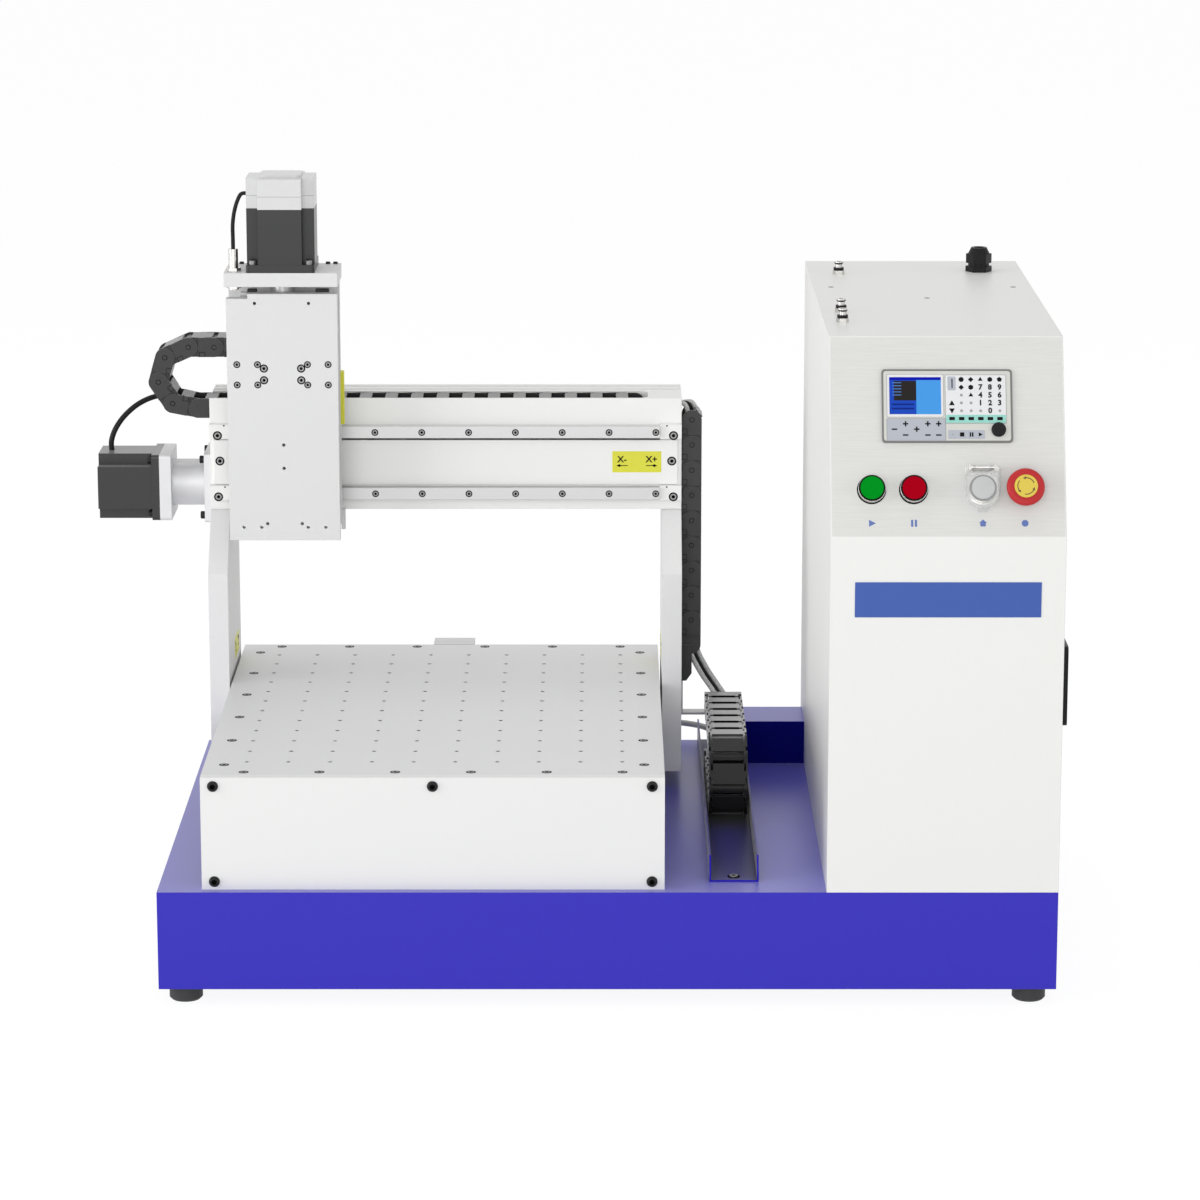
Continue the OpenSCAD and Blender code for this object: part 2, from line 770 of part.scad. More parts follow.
module beam() {
    skin = 12;
    deck = 8;
    groove = 6;
    bore = screw_d + 2 * running_gap;
    trough_r = 12;
    trough_end = x_chain_u + loop_shift + x_chain_links * chain_pitch + chain_h / 2 + 4;
    color("whitesmoke")
        difference() {
            union() {
                box([beam_x0, beam_y0, beam_z0], [beam_x1, beam_y1, beam_z1]);
                for (x = [beam_x0, rail_x1], z = x_rail_z)
                    box([x, beam_y0 - pad_t, z - pad_h / 2], [x + pad_w, beam_y0 + 1, z + pad_h / 2]);
            }
            box([rail_x0, beam_y0 + skin, beam_z0 + deck], [rail_x1, beam_y1 - skin, trough_floor - deck]);
            box([rail_x0, beam_y0 - 1, window_z0], [rail_x1, beam_y0 + skin + 1, window_z1]);
            box([beam_x0 - 1, trough_y0, trough_floor], [trough_end - trough_r, trough_y1, beam_z1 + 1]);
            box([beam_x0, trough_y0 + trough_r, trough_floor],
                [trough_end, trough_y1 - trough_r, beam_z1 + 1]);
            for (y = [trough_y0 + trough_r, trough_y1 - trough_r])
                rod_z(trough_floor, beam_z1 + 1, trough_end - trough_r, y, 2 * trough_r);
            for (y = [trough_y1 + 14, beam_y1 - 14])
                box([beam_x0 - 1, y - groove / 2, beam_z1 - groove],
                    [beam_x1 + 1, y + groove / 2, beam_z1 + 1]);
            for (z = [beam_z0 + 40, beam_z1 - 40])
                box([beam_x0 - 1, beam_y1 - groove, z - groove / 2],
                    [beam_x1 + 1, beam_y1 + 1, z + groove / 2]);
            rod_x(beam_x0 - 1, rail_x0 + 1, x_screw_y, x_screw_z, bore);
            rod_x(rail_x1 - 1, rail_x1 + journal_l, x_screw_y, x_screw_z, journal_d + 2 * running_gap);
            rod_x(trough_end - 1, beam_x1 + 1, x_chain_y, trough_floor + 13, 2 * loom_d);
        }
}

module beam_cover() {
    color("white")
        box([beam_x0 + cover_end, beam_y0 - cover_t, window_z0 - cover_lap],
            [beam_x1 - cover_end, beam_y0, window_z1 - slot_h]);
}

module x_rails() {
    color("lightgray")
        for (z = x_rail_z)
            translate([rail_x0, beam_y0, z]) rotate([90, 0, 0]) rail(rail_x1 - rail_x0);
}

module x_bell_housing() {
    x1 = beam_x0 - flange_t;
    x2 = x1 - bell_l;
    bore = coupling_d + 14;
    color("lightgray")
        difference() {
            union() {
                translate([x1, x_screw_y, x_screw_z]) rotate([90, 0, 90]) linear_extrude(flange_t)
                    rounded_square(flange_w, flange_w, 3);
                rod_x(x2, x1 + 1, x_screw_y, x_screw_z, bell_d);
                translate([x2 - collar_t, x_screw_y, x_screw_z]) rotate([90, 0, 90]) linear_extrude(collar_t)
                    rounded_square(motor_w, motor_w, 4);
            }
            rod_x(x2 - collar_t - 1, beam_x0 + 1, x_screw_y, x_screw_z, bore);
        }
}

module x_motor() {
    face = beam_x0 - flange_t - bell_l - collar_t;
    color("black") translate([face, x_screw_y, x_screw_z]) rotate([0, -90, 0]) motor_can(motor_l);
}

module x_screw() {
    face = beam_x0 - flange_t - bell_l - collar_t;
    color("gray") {
        rod_x(rail_x1 - 2, rail_x1 + journal_l - 1, x_screw_y, x_screw_z, journal_d);
        rod_x(beam_x0 - 6, rail_x1 - 1, x_screw_y, x_screw_z, screw_d);
        rod_x(face + 6, beam_x0 - 5, x_screw_y, x_screw_z, coupling_d);
        rod_x(face - shaft_l, face + 7, x_screw_y, x_screw_z, shaft_d);
    }
}

// Cable chain along the beam
module along_x() {
    translate([0, x_chain_y, 0]) children();
}

module x_chain_lower_run() {
    start = [x_chain_u + loop_shift + travel_links * chain_pitch, x_chain_low];
    color("dimgray") along_x() chain_run(start, 0, x_chain_links - travel_links);
}

module x_chain_rolling_links() {
    start = [x_chain_u + loop_shift, x_chain_low];
    color("dimgray") along_x() chain_run(start, 0, travel_links);
}

module x_chain_loop() {
    color("dimgray") along_x() translate([x_chain_u, 0, x_chain_low + loop_drop]) chain_loop();
}

module x_chain_upper_run() {
    top = x_chain_low + loop_drop;
    end = x_chain_u + x_upper_links * chain_pitch;
    color("dimgray")
        along_x() {
            chain_run([end, top], 180, x_upper_links);
            difference() {
                chain_end([end, top], chain_end_l);
                box([end - chain_h, -chain_w, top - chain_h],
                    [end + chain_h / 2 + 0.4, chain_w, top + chain_h]);
            }
            end_lid([end, top]);
        }
}

module riser_chain() {
    clip_l = 10;
    lid_l = 12;
    foot_t = chain_h / 2 + 2;
    foot_half = chain_w / 2 - 2 * (chain_wall + chain_layer_gap);
    color("dimgray") {
        translate([riser_x, x_chain_y, riser_top]) rotate([0, 90, 0]) rotate([180, 0, 0]) {
            chain_run([0, 0], 0, riser_links);
            rotate([0, 40, 0]) box([-lid_l / 2, -foot_half, -chain_h / 2], [lid_l / 2, foot_half,
                chain_bar - chain_h / 2]);
        }
        difference() {
            translate([beam_x1, x_chain_y, riser_low]) rotate([90, 0, 0])
                linear_extrude(chain_w, center = true) polygon([[0, 0], [foot_t, 0],
                    [foot_t, 10 - riser_foot_h],
                    [foot_t - 7, -riser_foot_h], [0, -riser_foot_h]]);
            box([beam_x1 + chain_bar, x_chain_y - foot_half, riser_low - riser_foot_h - 1],
                [beam_x1 + chain_h, x_chain_y + foot_half, riser_low + 1]);
        }
        for (i = [1, riser_links - 2])
            translate([beam_x1, x_chain_y, riser_top - (i + 0.5) * chain_pitch])
                box([0, -chain_w / 2 + 8, -clip_l / 2], [riser_gap, chain_w / 2 - 8, clip_l / 2]);
    }
}

module x_motor_cable() {
    color("black") translate(x_cable_from) tube(x_cable_route, x_cable_d, [0, 1, 0], 10);
}

module loom() {
    color("gray") translate(loom_from) tube(loom_route, loom_d, [1, 1, 1], 10);
}

// Carriage
module carriage_plate() {
    foot_w = 40;
    tab = 4;
    tab_h = 26;
    chain_top = x_chain_low + loop_drop + chain_h / 2;
    arm_x1 = x_chain_u + x_upper_links * chain_pitch + chain_end_l;
    bore = journal_d + 2 * running_gap;
    color("whitesmoke")
        difference() {
            union() {
                box([carriage_x0, carriage_y0, carriage_z0],
                    [carriage_x0 + carriage_w, carriage_y1, carriage_z1]);
                box([carriage_x - foot_w / 2, carriage_y0 - block_h + 2, carriage_z0],
                    [carriage_x + foot_w / 2, carriage_y0 + 1, carriage_z0 + z_foot_h]);
                box([carriage_x0 + carriage_w - 1, carriage_y0 + 2, carriage_z0 - 8],
                    [carriage_x0 + carriage_w + tab, carriage_y1 - 2, carriage_z0 - 8 + tab_h]);
                box([arm_x1 - chain_end_l, carriage_y1 - 1, chain_top],
                    [arm_x1, x_chain_y + chain_w / 2, chain_top + arm_t]);
            }
            rod_z(carriage_z0 - 1, carriage_z0 + z_foot_h + 1, carriage_x, z_screw_y, bore);
        }
}

module x_blocks() {
    color("gray")
        for (side = [-1, 1], z = x_rail_z)
            translate([carriage_x + side * x_block_pitch / 2, beam_y0, z]) rotate([90, 0, 0]) runner();
}

module x_nut_bracket() {
    arm_w = 20;
    arm_h = 3;
    arm_z0 = window_z1 - (slot_h + arm_h) / 2;
    color("gray")
        difference() {
            union() {
                box([carriage_x - arm_w / 2, carriage_y1, arm_z0],
                    [carriage_x + arm_w / 2, x_screw_y + x_nut_half, arm_z0 + arm_h]);
                box([carriage_x - x_nut_l / 2, x_screw_y - x_nut_half, x_screw_z - x_nut_half],
                    [carriage_x + x_nut_l / 2, x_screw_y + x_nut_half, arm_z0 + 1]);
            }
            rod_x(carriage_x - x_nut_l, carriage_x + x_nut_l, x_screw_y, x_screw_z,
                screw_d + 2 * running_gap);
        }
}

module z_rails() {
    l = carriage_h - z_rail_top_gap - z_foot_h;
    color("lightgray")
        for (side = [-1, 1])
            translate([carriage_x + side * z_rail_pitch / 2, carriage_y0, carriage_z1 - z_rail_top_gap])
                rotate([0, 90, 0]) rotate([90, 0, 0]) rail(l);
}

module z_motor_plate() {
    bore = shaft_d + 2 * running_gap;
    sensor_bore = sensor_d + 0.6;
    color("whitesmoke")
        difference() {
            box([motor_plate_x0, motor_plate_y0, carriage_z1],
                [motor_plate_x0 + motor_plate_w, motor_plate_y0 + motor_plate_d, motor_z0]);
            rod_z(carriage_z1 - 1, motor_z0 + 1, carriage_x, z_screw_y, bore);
            rod_z(carriage_z1 - 1, motor_z0 + 1, sensor_x, sensor_y, sensor_bore);
        }
}

module z_motor() {
    color("black")
        translate([carriage_x, z_screw_y, motor_z0]) {
            motor_can(motor_l);
            translate([0, 0, motor_l]) motor_cap(cap_l);
        }
}

module limit_sensor() {
    nut_d = 19;
    nut_h = 4;
    color("silver")
        translate([sensor_x, sensor_y, 0]) {
            translate([0, 0, carriage_z1 - 6]) cylinder(d = sensor_d, h = sensor_top - carriage_z1 + 6);
            translate([0, 0, motor_z0]) cylinder(d = nut_d, h = nut_h, $fn = 6);
            translate([0, 0, carriage_z1 - nut_h]) cylinder(d = nut_d, h = nut_h, $fn = 6);
        }
}

module sensor_cable() {
    color("black") translate(sensor_cable_from) tube(sensor_cable_route, sensor_cable_d, [0, 1, 0], 10);
}

module z_screw() {
    top = carriage_z1 - 1;
    color("gray") {
        rod_z(carriage_z0 + 2, carriage_z0 + z_foot_h + 2, carriage_x, z_screw_y, journal_d);
        rod_z(carriage_z0 + z_foot_h + 1, top - z_coupling_l + 1, carriage_x, z_screw_y, z_screw_d);
        rod_z(top - z_coupling_l, top, carriage_x, z_screw_y, coupling_d);
        rod_z(top - 1, motor_z0 + shaft_l, carriage_x, z_screw_y, shaft_d);
    }
}

// Tool slide
module z_blocks() {
    color("gray")
        for (side = [-1, 1])
            translate([carriage_x + side * z_rail_pitch / 2, carriage_y0, z_block_z])
                rotate([0, 90, 0]) rotate([90, 0, 0]) runner();
}

module z_nut_block() {
    color("gray")
        difference() {
            box([carriage_x - z_nut_w / 2, tool_y1, z_block_z - z_nut_h / 2],
                [carriage_x + z_nut_w / 2, carriage_y0 - 1.5, z_block_z + z_nut_h / 2]);
            rod_z(z_block_z - z_nut_h, z_block_z + z_nut_h, carriage_x, z_screw_y,
                z_screw_d + 2 * running_gap);
        }
}

module tool_plate() {
    notch_w = 27;
    notch_h = 6;
    tap_d = 4.2;
    taps = [[-34, tool_plate_h - 12], [34, tool_plate_h - 12], [0, 123], [0, 93], [-52, 17], [-29.5, 17],
        [-22, 21.5], [22, 21.5], [29.5, 17], [52, 17]];
    color("whitesmoke")
        difference() {
            box([carriage_x0, tool_y0, tool_z0], [carriage_x0 + carriage_w, tool_y1, tool_z1]);
            box([carriage_x0 - 1, tool_y0 - 1, tool_z1 - notch_h],
                [carriage_x0 + notch_w, tool_y1 + 1, tool_z1 + 1]);
            for (t = taps)
                rod_y(tool_y0 - 1, tool_y1 + 1, carriage_x + t[0], tool_z0 + t[1], tap_d);
        }
}

// Cabinet
module cabinet_outline(t) {
    lean_cos = cos(panel_lean);
    lean_sin = sin(panel_lean);
    up = (panel_h - t + t * lean_sin) / lean_cos;
    polygon([[cab_y0 + t, base_top], [cab_y0 + t, break_z - t * tan(panel_lean / 2)],
        [cab_y0 + up * lean_sin + t * lean_cos, cab_z1 - t], [cab_y1 + (t > 0 ? 1 : 0), cab_z1 - t],
        [cab_y1 + (t > 0 ? 1 : 0), base_top]]);
}

module cabinet_shell() {
    slack = 0.5;
    duct_y0 = duct_y1 - duct_w;
    color("white")
        difference() {
            translate([cab_x0, 0, 0]) rotate([90, 0, 90]) linear_extrude(cab_w) cabinet_outline(0);
            translate([cab_x0 + cab_sheet, 0, -eps]) rotate([90, 0, 90]) linear_extrude(cab_w - 2 * cab_sheet)
                cabinet_outline(cab_sheet);
            on_panel(cab_mid, ctl_s)
                box([-ctl_box_w / 2 - slack, -ctl_box_h / 2 - slack, -20], [ctl_box_w / 2 + slack,
                    ctl_box_h / 2 + slack, 20]);
            for (x = [run_x, pause_x, home_x, stop_x])
                on_panel(x, button_s) translate([0, 0, -20]) cylinder(d = barrel_d + 0.4, h = 40);
            for (f = fittings)
                rod_z(cab_z1 - 20, cab_z1 + 1, f[0], f[1], fitting_thread + 0.4);
            rod_z(cab_z1 - 20, cab_z1 + 1, gland_at[0], gland_at[1], gland_thread + 0.4);
            box([cab_x0 - 1, duct_y0 + duct_sheet, base_top - 1],
                [cab_x0 + cab_sheet + 1, duct_y1 - duct_sheet, base_top + duct_h - duct_sheet]);
            rod_x(cab_x1 - cab_sheet - 1, cab_x1 + 1, vent_at[0], vent_at[1], vent_w - 12);
        }
}

module cabinet_rear_panel() {
    slot_l = 60;
    slot_h = 4;
    slot_pitch = 10;
    slots = 8;
    slot_x = 50;
    slot_drop = 60;
    fin = 0.4;
    color("white")
        difference() {
            box([cab_x0, cab_y1, base_top + fin], [cab_x1, cab_y1 + cab_sheet, cab_z1]);
            for (i = [0 : slots - 1], side = [-1, 1])
                translate([cab_mid + side * slot_x, cab_y1, cab_z1 - slot_drop - i * slot_pitch])
                    box([-slot_l / 2, -1, 0], [slot_l / 2, cab_sheet + 1, slot_h]);
        }
}

module drive_electronics() {
    plate_t = 3;
    plate_l = cab_d - 340;
    plate_h = cab_front_h - 100;
    front_gap = 160;
    floor_gap = 40;
    supply = [50, 215, 115];
    supply_at = [60, 30];
    driver = [34, 76, 118];
    driver_at = [30, 180];
    driver_step = 110;
    fin_d = 14;
    fin_t = 8;
    fin_step = 17;
    color("silver")
        translate([cab_x0 + cab_sheet, cab_y0 + front_gap, base_top + floor_gap]) {
            cube([plate_t, plate_l, plate_h]);
            translate([plate_t, supply_at[0], supply_at[1]]) cube(supply);
            for (i = [0 : 2])
                translate([plate_t, driver_at[0] + i * driver_step, driver_at[1]]) {
                    cube([driver[0] - fin_d, driver[1], driver[2]]);
                    for (k = [0 : 4])
                        translate([0, k * fin_step, 0]) cube([driver[0], fin_t, driver[2]]);
                }
        }
}

module controller() {
    screen = [60, 45];
    recess = 0.8;
    socket_l = 12;
    color("lightgray")
        on_panel(cab_mid, ctl_s)
            difference() {
                union() {
                    linear_extrude(ctl_t) rounded_square(ctl_w, ctl_h, ctl_r);
                    box([-ctl_box_w / 2, -ctl_box_h / 2, -ctl_box_d], [ctl_box_w / 2, ctl_box_h / 2, 1]);
                }
                translate([-37.5, 12, ctl_t - recess]) linear_extrude(2) square(screen, center = true);
                translate([usb_at[0] - cab_mid, usb_at[1] - ctl_s, ctl_t - socket_l])
                    cylinder(d = usb_bore + 2 * running_gap, h = socket_l + 1);
            }
}

module usb_cap() {
    dome_h = 4;
    color("black")
        on_panel(usb_at[0], usb_at[1]) {
            translate([0, 0, ctl_t + 0.2]) cylinder(d = usb_d, h = dome_h - 1);
            translate([0, 0, ctl_t + dome_h - 1]) cylinder(d1 = usb_d, d2 = usb_d - 3, h = 1.2);
            translate([0, 0, ctl_t - 10]) cylinder(d = usb_bore, h = 11);
        }
}

// Push buttons
module button_barrel(wall_top, flange_d, flange_h) {
    bore = stem_d + 2 * running_gap;
    difference() {
        union() {
            translate([0, 0, -barrel_l]) cylinder(d = barrel_d, h = barrel_l + 1);
            cylinder(d = flange_d, h = flange_h);
            if (wall_top > flange_h)
                cylinder(d = flange_d, h = wall_top);
        }
        translate([0, 0, -barrel_l - 1]) cylinder(d = bore, h = barrel_l + 20);
        if (wall_top > flange_h)
            translate([0, 0, flange_h]) cylinder(d = flange_d - bezel_wall + 2 * cap_clear, h = wall_top);
    }
}

guard_w = 40;
guard_d = 18;
guard_wall = 1.5;
guard_low = -3;
guard_top = 20;
pin_at = [25, 8];
pin_d = 3;
ear_at = 15;
lug_at = 10;
ear_t = 3;
ear_r = 3;

module button_bezels() {
    flange_h = 1;
    color("silver") {
        for (x = [run_x, pause_x])
            on_panel(x, button_s) button_barrel(bezel_h, bezel_d, flange_h);
        on_panel(home_x, button_s) {
            button_barrel(bezel_h, home_d, flange_h);
            difference() {
                union() {
                    linear_extrude(flange_h) {
                        translate([-guard_w / 2, guard_low]) square([guard_w, pin_at[0] + ear_r - guard_low]);
                        translate([0, guard_low]) circle(d = guard_w);
                    }
                    for (side = [-1, 1])
                        box([side * ear_at - ear_t / 2, pin_at[0] - ear_r, 0], [side * ear_at + ear_t / 2,
                            pin_at[0] + ear_r, pin_at[1] + ear_r]);
                    translate([-ear_at, pin_at[0], pin_at[1]]) rotate([0, 90, 0])
                        cylinder(d = pin_d, h = 2 * ear_at);
                }
                translate([0, 0, -1]) cylinder(d = home_d - 1, h = flange_h + 2);
            }
        }
        on_panel(stop_x, button_s) button_barrel(0, bezel_d, 5);
    }
}

module push_button(x, d) {
    cap_z = bezel_h - 0.8;
    on_panel(x, button_s) {
        translate([0, 0, cap_z]) cylinder(d = d - bezel_wall, h = button_cap_t);
        translate([0, 0, -stem_l]) cylinder(d = stem_d, h = stem_l + cap_z + 1);
    }
}

module run_button() {
    color("green") push_button(run_x, bezel_d);
}

module pause_button() {
    color("crimson") push_button(pause_x, bezel_d);
}

module home_button() {
    color("gainsboro") push_button(home_x, home_d);
}

module guard_shape(inset) {
    translate([inset - guard_w / 2, guard_low]) square([guard_w - 2 * inset, guard_top - guard_low - inset]);
    translate([0, guard_low]) circle(d = guard_w - 2 * inset);
}

module home_guard() {
    low = 1.8;
    tab_w = 12;
    color("lightcyan")
        on_panel(home_x, button_s)
            difference() {
                union() {
                    difference() {
                        translate([0, 0, low]) linear_extrude(guard_d) guard_shape(0);
                        translate([0, 0, low - 1]) linear_extrude(guard_d + 1 - guard_wall)
                            guard_shape(guard_wall);
                    }
                    box([-tab_w / 2, guard_low - guard_w / 2 - 4, low],
                        [tab_w / 2, guard_low - guard_w / 2 + 1, low + 2]);
                    for (side = [-1, 1])
                        box([side * lug_at - ear_t / 2, guard_top - 1, pin_at[1] - ear_r],
                            [side * lug_at + ear_t / 2, pin_at[0] + ear_r - 1, pin_at[1] + ear_r]);
                }
                translate([-guard_w / 2, pin_at[0], pin_at[1]]) rotate([0, 90, 0])
                    cylinder(d = pin_d + 2 * running_gap, h = guard_w);
                box([guard_wall - guard_w / 2, guard_top - guard_wall - 1, low - 1],
                    [guard_w / 2 - guard_wall, guard_top + 1, pin_at[1] - ear_r]);
            }
}

spigot_d = 9;
spigot_l = 5;
stop_low = 5 + stop_travel + 1;

module stop_stem() {
    color("dimgray")
        on_panel(stop_x, button_s) {
            translate([0, 0, -stem_l]) cylinder(d = stem_d, h = stem_l + stop_low - 0.2);
            translate([0, 0, stop_low - 1]) cylinder(d = spigot_d, h = spigot_l + 1);
        }
}

module stop_head() {
    edge = 4.5;
    crown = 1;
    color("red")
        on_panel(stop_x, button_s)
            difference() {
                union() {
                    translate([0, 0, stop_low]) rotate_extrude() {
                        translate([stop_d / 2 - edge, edge]) circle(edge);
                        square([stop_d / 2 - edge, 2 * edge]);
                    }
                    translate([0, 0, stop_low + 2 * edge - 1]) cylinder(d = 26, h = crown + 1);
                }
                translate([0, 0, stop_low - 1]) cylinder(d = spigot_d + 2 * running_gap, h = spigot_l + 1.3);
            }
}

// Pieces on the cabinet's roof and side
module air_fittings() {
    hex_d = 15;
    color("silver")
        for (f = fittings)
            translate([f[0], f[1], cab_z1])
                difference() {
                    union() {
                        translate([0, 0, -8]) cylinder(d = fitting_thread, h = 9);
                        cylinder(d = hex_d, h = 5, $fn = 6);
                        cylinder(d = 9, h = 13);
                        translate([0, 0, 13]) cylinder(d1 = 9, d2 = 11, h = 1.5);
                        translate([0, 0, 14.5]) cylinder(d = 11, h = 2);
                    }
                    translate([0, 0, -9]) cylinder(d = fitting_bore, h = 30);
                }
}

module cable_gland() {
    hex_d = 34;
    color("black")
        translate([gland_at[0], gland_at[1], cab_z1])
            difference() {
                union() {
                    translate([0, 0, -12]) cylinder(d = gland_thread, h = 13);
                    translate([0, 0, -cab_sheet - 5 - 2 * eps]) cylinder(d = hex_d, h = 5, $fn = 6);
                    cylinder(d = hex_d, h = 7, $fn = 6);
                    translate([0, 0, 7]) cylinder(d = 27, h = 4);
                    translate([0, 0, 11]) cylinder(d = hex_d - 1, h = 12, $fn = 6);
                    translate([0, 0, 23]) cylinder(d1 = 28, d2 = 20, h = 8);
                }
                translate([0, 0, -13]) cylinder(d = gland_bore, h = 60);
            }
}

module vent_cover() {
    rim = 8;
    slats = 7;
    slat_t = 3;
    slat_pitch = (vent_w - 2 * rim) / slats;
    color("black")
        translate([cab_x1, vent_at[0], vent_at[1]]) rotate([90, 0, 90]) {
            linear_extrude(vent_t) difference() {
                rounded_square(vent_w, vent_w, 6);
                square(vent_w - 2 * rim, center = true);
            }
            for (i = [0 : slats - 1])
                translate([0, (i - (slats - 1) / 2) * slat_pitch, 0]) rotate([90, 0, 90])
                    translate([0, 0, -vent_w / 2 + rim - 1]) linear_extrude(vent_w - 2 * rim + 2)
                        polygon([[-slat_pitch / 2 + 1, 2], [slat_t - slat_pitch / 2 + 1, 2],
                            [slat_pitch / 2 - 1, vent_t - 1], [slat_pitch / 2 - 1 - slat_t, vent_t - 1]]);
        }
}

base_frame();
bottom_cover();
feet();
table_plate();
table_front_plate();
table_rear_plate();
table_side_beams();
y_rails();
y_motor();
y_motor_cable();
y_screw();
chain_tray();
y_chain_lower_run();
y_chain_loop();
y_chain_upper_run();
chain_bracket();
left_column();
right_column();
bridge_plate();
y_blocks();
beam();
beam_cover();
x_rails();
x_bell_housing();
x_motor();
x_screw();
x_chain_lower_run();
x_chain_rolling_links();
x_chain_loop();
x_chain_upper_run();
riser_chain();
x_motor_cable();
loom();
carriage_plate();
x_blocks();
x_nut_bracket();
z_rails();
z_motor_plate();
z_motor();
limit_sensor();
sensor_cable();
z_screw();
z_blocks();
z_nut_block();
tool_plate();
cabinet_shell();
cabinet_rear_panel();
drive_electronics();
controller();
usb_cap();
button_bezels();
run_button();
pause_button();
home_button();
home_guard();
stop_stem();
stop_head();
air_fittings();
cable_gland();
vent_cover();
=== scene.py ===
"""Looks of a desktop dispensing robot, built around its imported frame.

Metres. +X is to the right, +Y to the rear and +Z up. The origin lies on the bench under the base.
"""

import math

import bmesh
import bpy
import numpy as np
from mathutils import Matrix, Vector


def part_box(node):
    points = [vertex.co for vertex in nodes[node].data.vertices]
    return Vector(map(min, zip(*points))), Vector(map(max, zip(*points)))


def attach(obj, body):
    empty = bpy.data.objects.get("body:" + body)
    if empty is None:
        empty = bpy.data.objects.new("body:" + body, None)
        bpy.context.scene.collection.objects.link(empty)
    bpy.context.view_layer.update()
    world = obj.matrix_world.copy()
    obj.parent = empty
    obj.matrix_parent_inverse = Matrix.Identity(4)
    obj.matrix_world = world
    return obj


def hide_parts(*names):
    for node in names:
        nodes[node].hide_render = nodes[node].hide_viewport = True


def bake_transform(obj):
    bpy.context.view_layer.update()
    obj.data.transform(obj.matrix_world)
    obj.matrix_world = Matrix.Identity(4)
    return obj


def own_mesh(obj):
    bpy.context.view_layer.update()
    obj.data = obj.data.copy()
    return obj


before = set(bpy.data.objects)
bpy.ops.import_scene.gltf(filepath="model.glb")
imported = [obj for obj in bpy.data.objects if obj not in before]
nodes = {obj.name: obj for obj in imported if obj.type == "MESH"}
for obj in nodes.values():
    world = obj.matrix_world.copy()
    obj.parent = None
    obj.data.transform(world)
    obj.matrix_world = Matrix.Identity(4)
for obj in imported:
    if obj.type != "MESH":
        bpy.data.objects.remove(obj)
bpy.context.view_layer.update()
scene = bpy.context.scene

# The studio: a pale bench top that keeps a soft shadow, a white surround and broad soft lamps.
# The camera's place and lens follow from the 50 mm hole grid of the work plate.
camera_place = (-0.0088, -5.3493, 1.6241)
camera_tilt = math.radians(77.257)
camera_lens = 131.36
bench_half = 40.0
bench_grey = (0.9, 0.9, 0.9)
bench_share = 0.86
bench_glow = 1.07
surround_light = 0.50
lamp_target = (0.0, 0.0, 0.35)
lamps = {
    "front_lamp": ((-0.6, -6.6, 1.9), 4.0, 130.0),
    "left_lamp": ((-5.2, -2.2, 1.3), 3.2, 138.0),
    "right_lamp": ((5.0, -3.0, 1.4), 3.0, 45.0),
    "top_lamp": ((0.0, 0.6, 4.2), 3.6, 36.0),
}

scene.view_settings.view_transform = "Standard"

camera = bpy.data.objects.new("camera", bpy.data.cameras.new("camera"))
camera.data.sensor_width = 36.0
camera.data.lens = camera_lens
camera.location = camera_place
camera.rotation_euler = (camera_tilt, 0.0, 0.0)
scene.collection.objects.link(camera)
scene.camera = camera

for lamp_name, (place, size, power) in lamps.items():
    lamp = bpy.data.objects.new(lamp_name, bpy.data.lights.new(lamp_name, "AREA"))
    lamp.data.size = size
    lamp.data.energy = power
    lamp.location = place
    aim = np.array(lamp_target) - np.array(place)
    lamp.rotation_euler = (
        math.atan2(math.hypot(aim[0], aim[1]), -aim[2]),
        0.0,
        math.atan2(aim[1], aim[0]) - math.pi / 2,
    )
    scene.collection.objects.link(lamp)


def maths(tree, operation, *settings):
    """A maths node with its inputs after the first set to the settings."""
    node = tree.nodes.new("ShaderNodeMath")
    node.operation = operation
    for socket, value in enumerate(settings, 1):
        node.inputs[socket].default_value = value
    return node


def seen_white(tree):
    """One where a camera, glossy or clear ray meets the surround, and nought for the light it gives."""
    path = tree.nodes.new("ShaderNodeLightPath")
    seen = path.outputs["Is Camera Ray"]
    for ray in ("Is Glossy Ray", "Is Transmission Ray"):
        both = maths(tree, "MAXIMUM")
        tree.links.new(seen, both.inputs[0])
        tree.links.new(path.outputs[ray], both.inputs[1])
        seen = both.outputs[0]
    return seen


world = bpy.data.worlds.new("surround")
scene.world = world
world.use_nodes = True
surround = world.node_tree.nodes["Background"]
surround.inputs["Color"].default_value = (1.0, 1.0, 1.0, 1.0)
strength = world.node_tree.nodes.new("ShaderNodeMapRange")
strength.inputs["To Min"].default_value = surround_light
strength.inputs["To Max"].default_value = 1.0
world.node_tree.links.new(seen_white(world.node_tree), strength.inputs["Value"])
world.node_tree.links.new(strength.outputs["Result"], surround.inputs["Strength"])

bench_mesh = bpy.data.meshes.new("bench")
bench_corners = [(-1, -1), (1, -1), (1, 1), (-1, 1)]
bench_mesh.from_pydata([(x * bench_half, y * bench_half, 0) for x, y in bench_corners], [], [(0, 1, 2, 3)])
bench = bpy.data.objects.new("bench", bench_mesh)
scene.collection.objects.link(bench)
bench_paint = bpy.data.materials.new("bench_white")
bench_paint.use_nodes = True
bench_tree = bench_paint.node_tree
bench_tree.nodes.remove(bench_tree.nodes["Principled BSDF"])
lit = bench_tree.nodes.new("ShaderNodeBsdfDiffuse")
lit.inputs["Color"].default_value = (*bench_grey, 1.0)
glow = bench_tree.nodes.new("ShaderNodeEmission")
glow.inputs["Strength"].default_value = bench_glow
share = maths(bench_tree, "MULTIPLY", bench_share)
mixed = bench_tree.nodes.new("ShaderNodeMixShader")
bench_tree.links.new(seen_white(bench_tree), share.inputs[0])
bench_tree.links.new(share.outputs[0], mixed.inputs["Fac"])
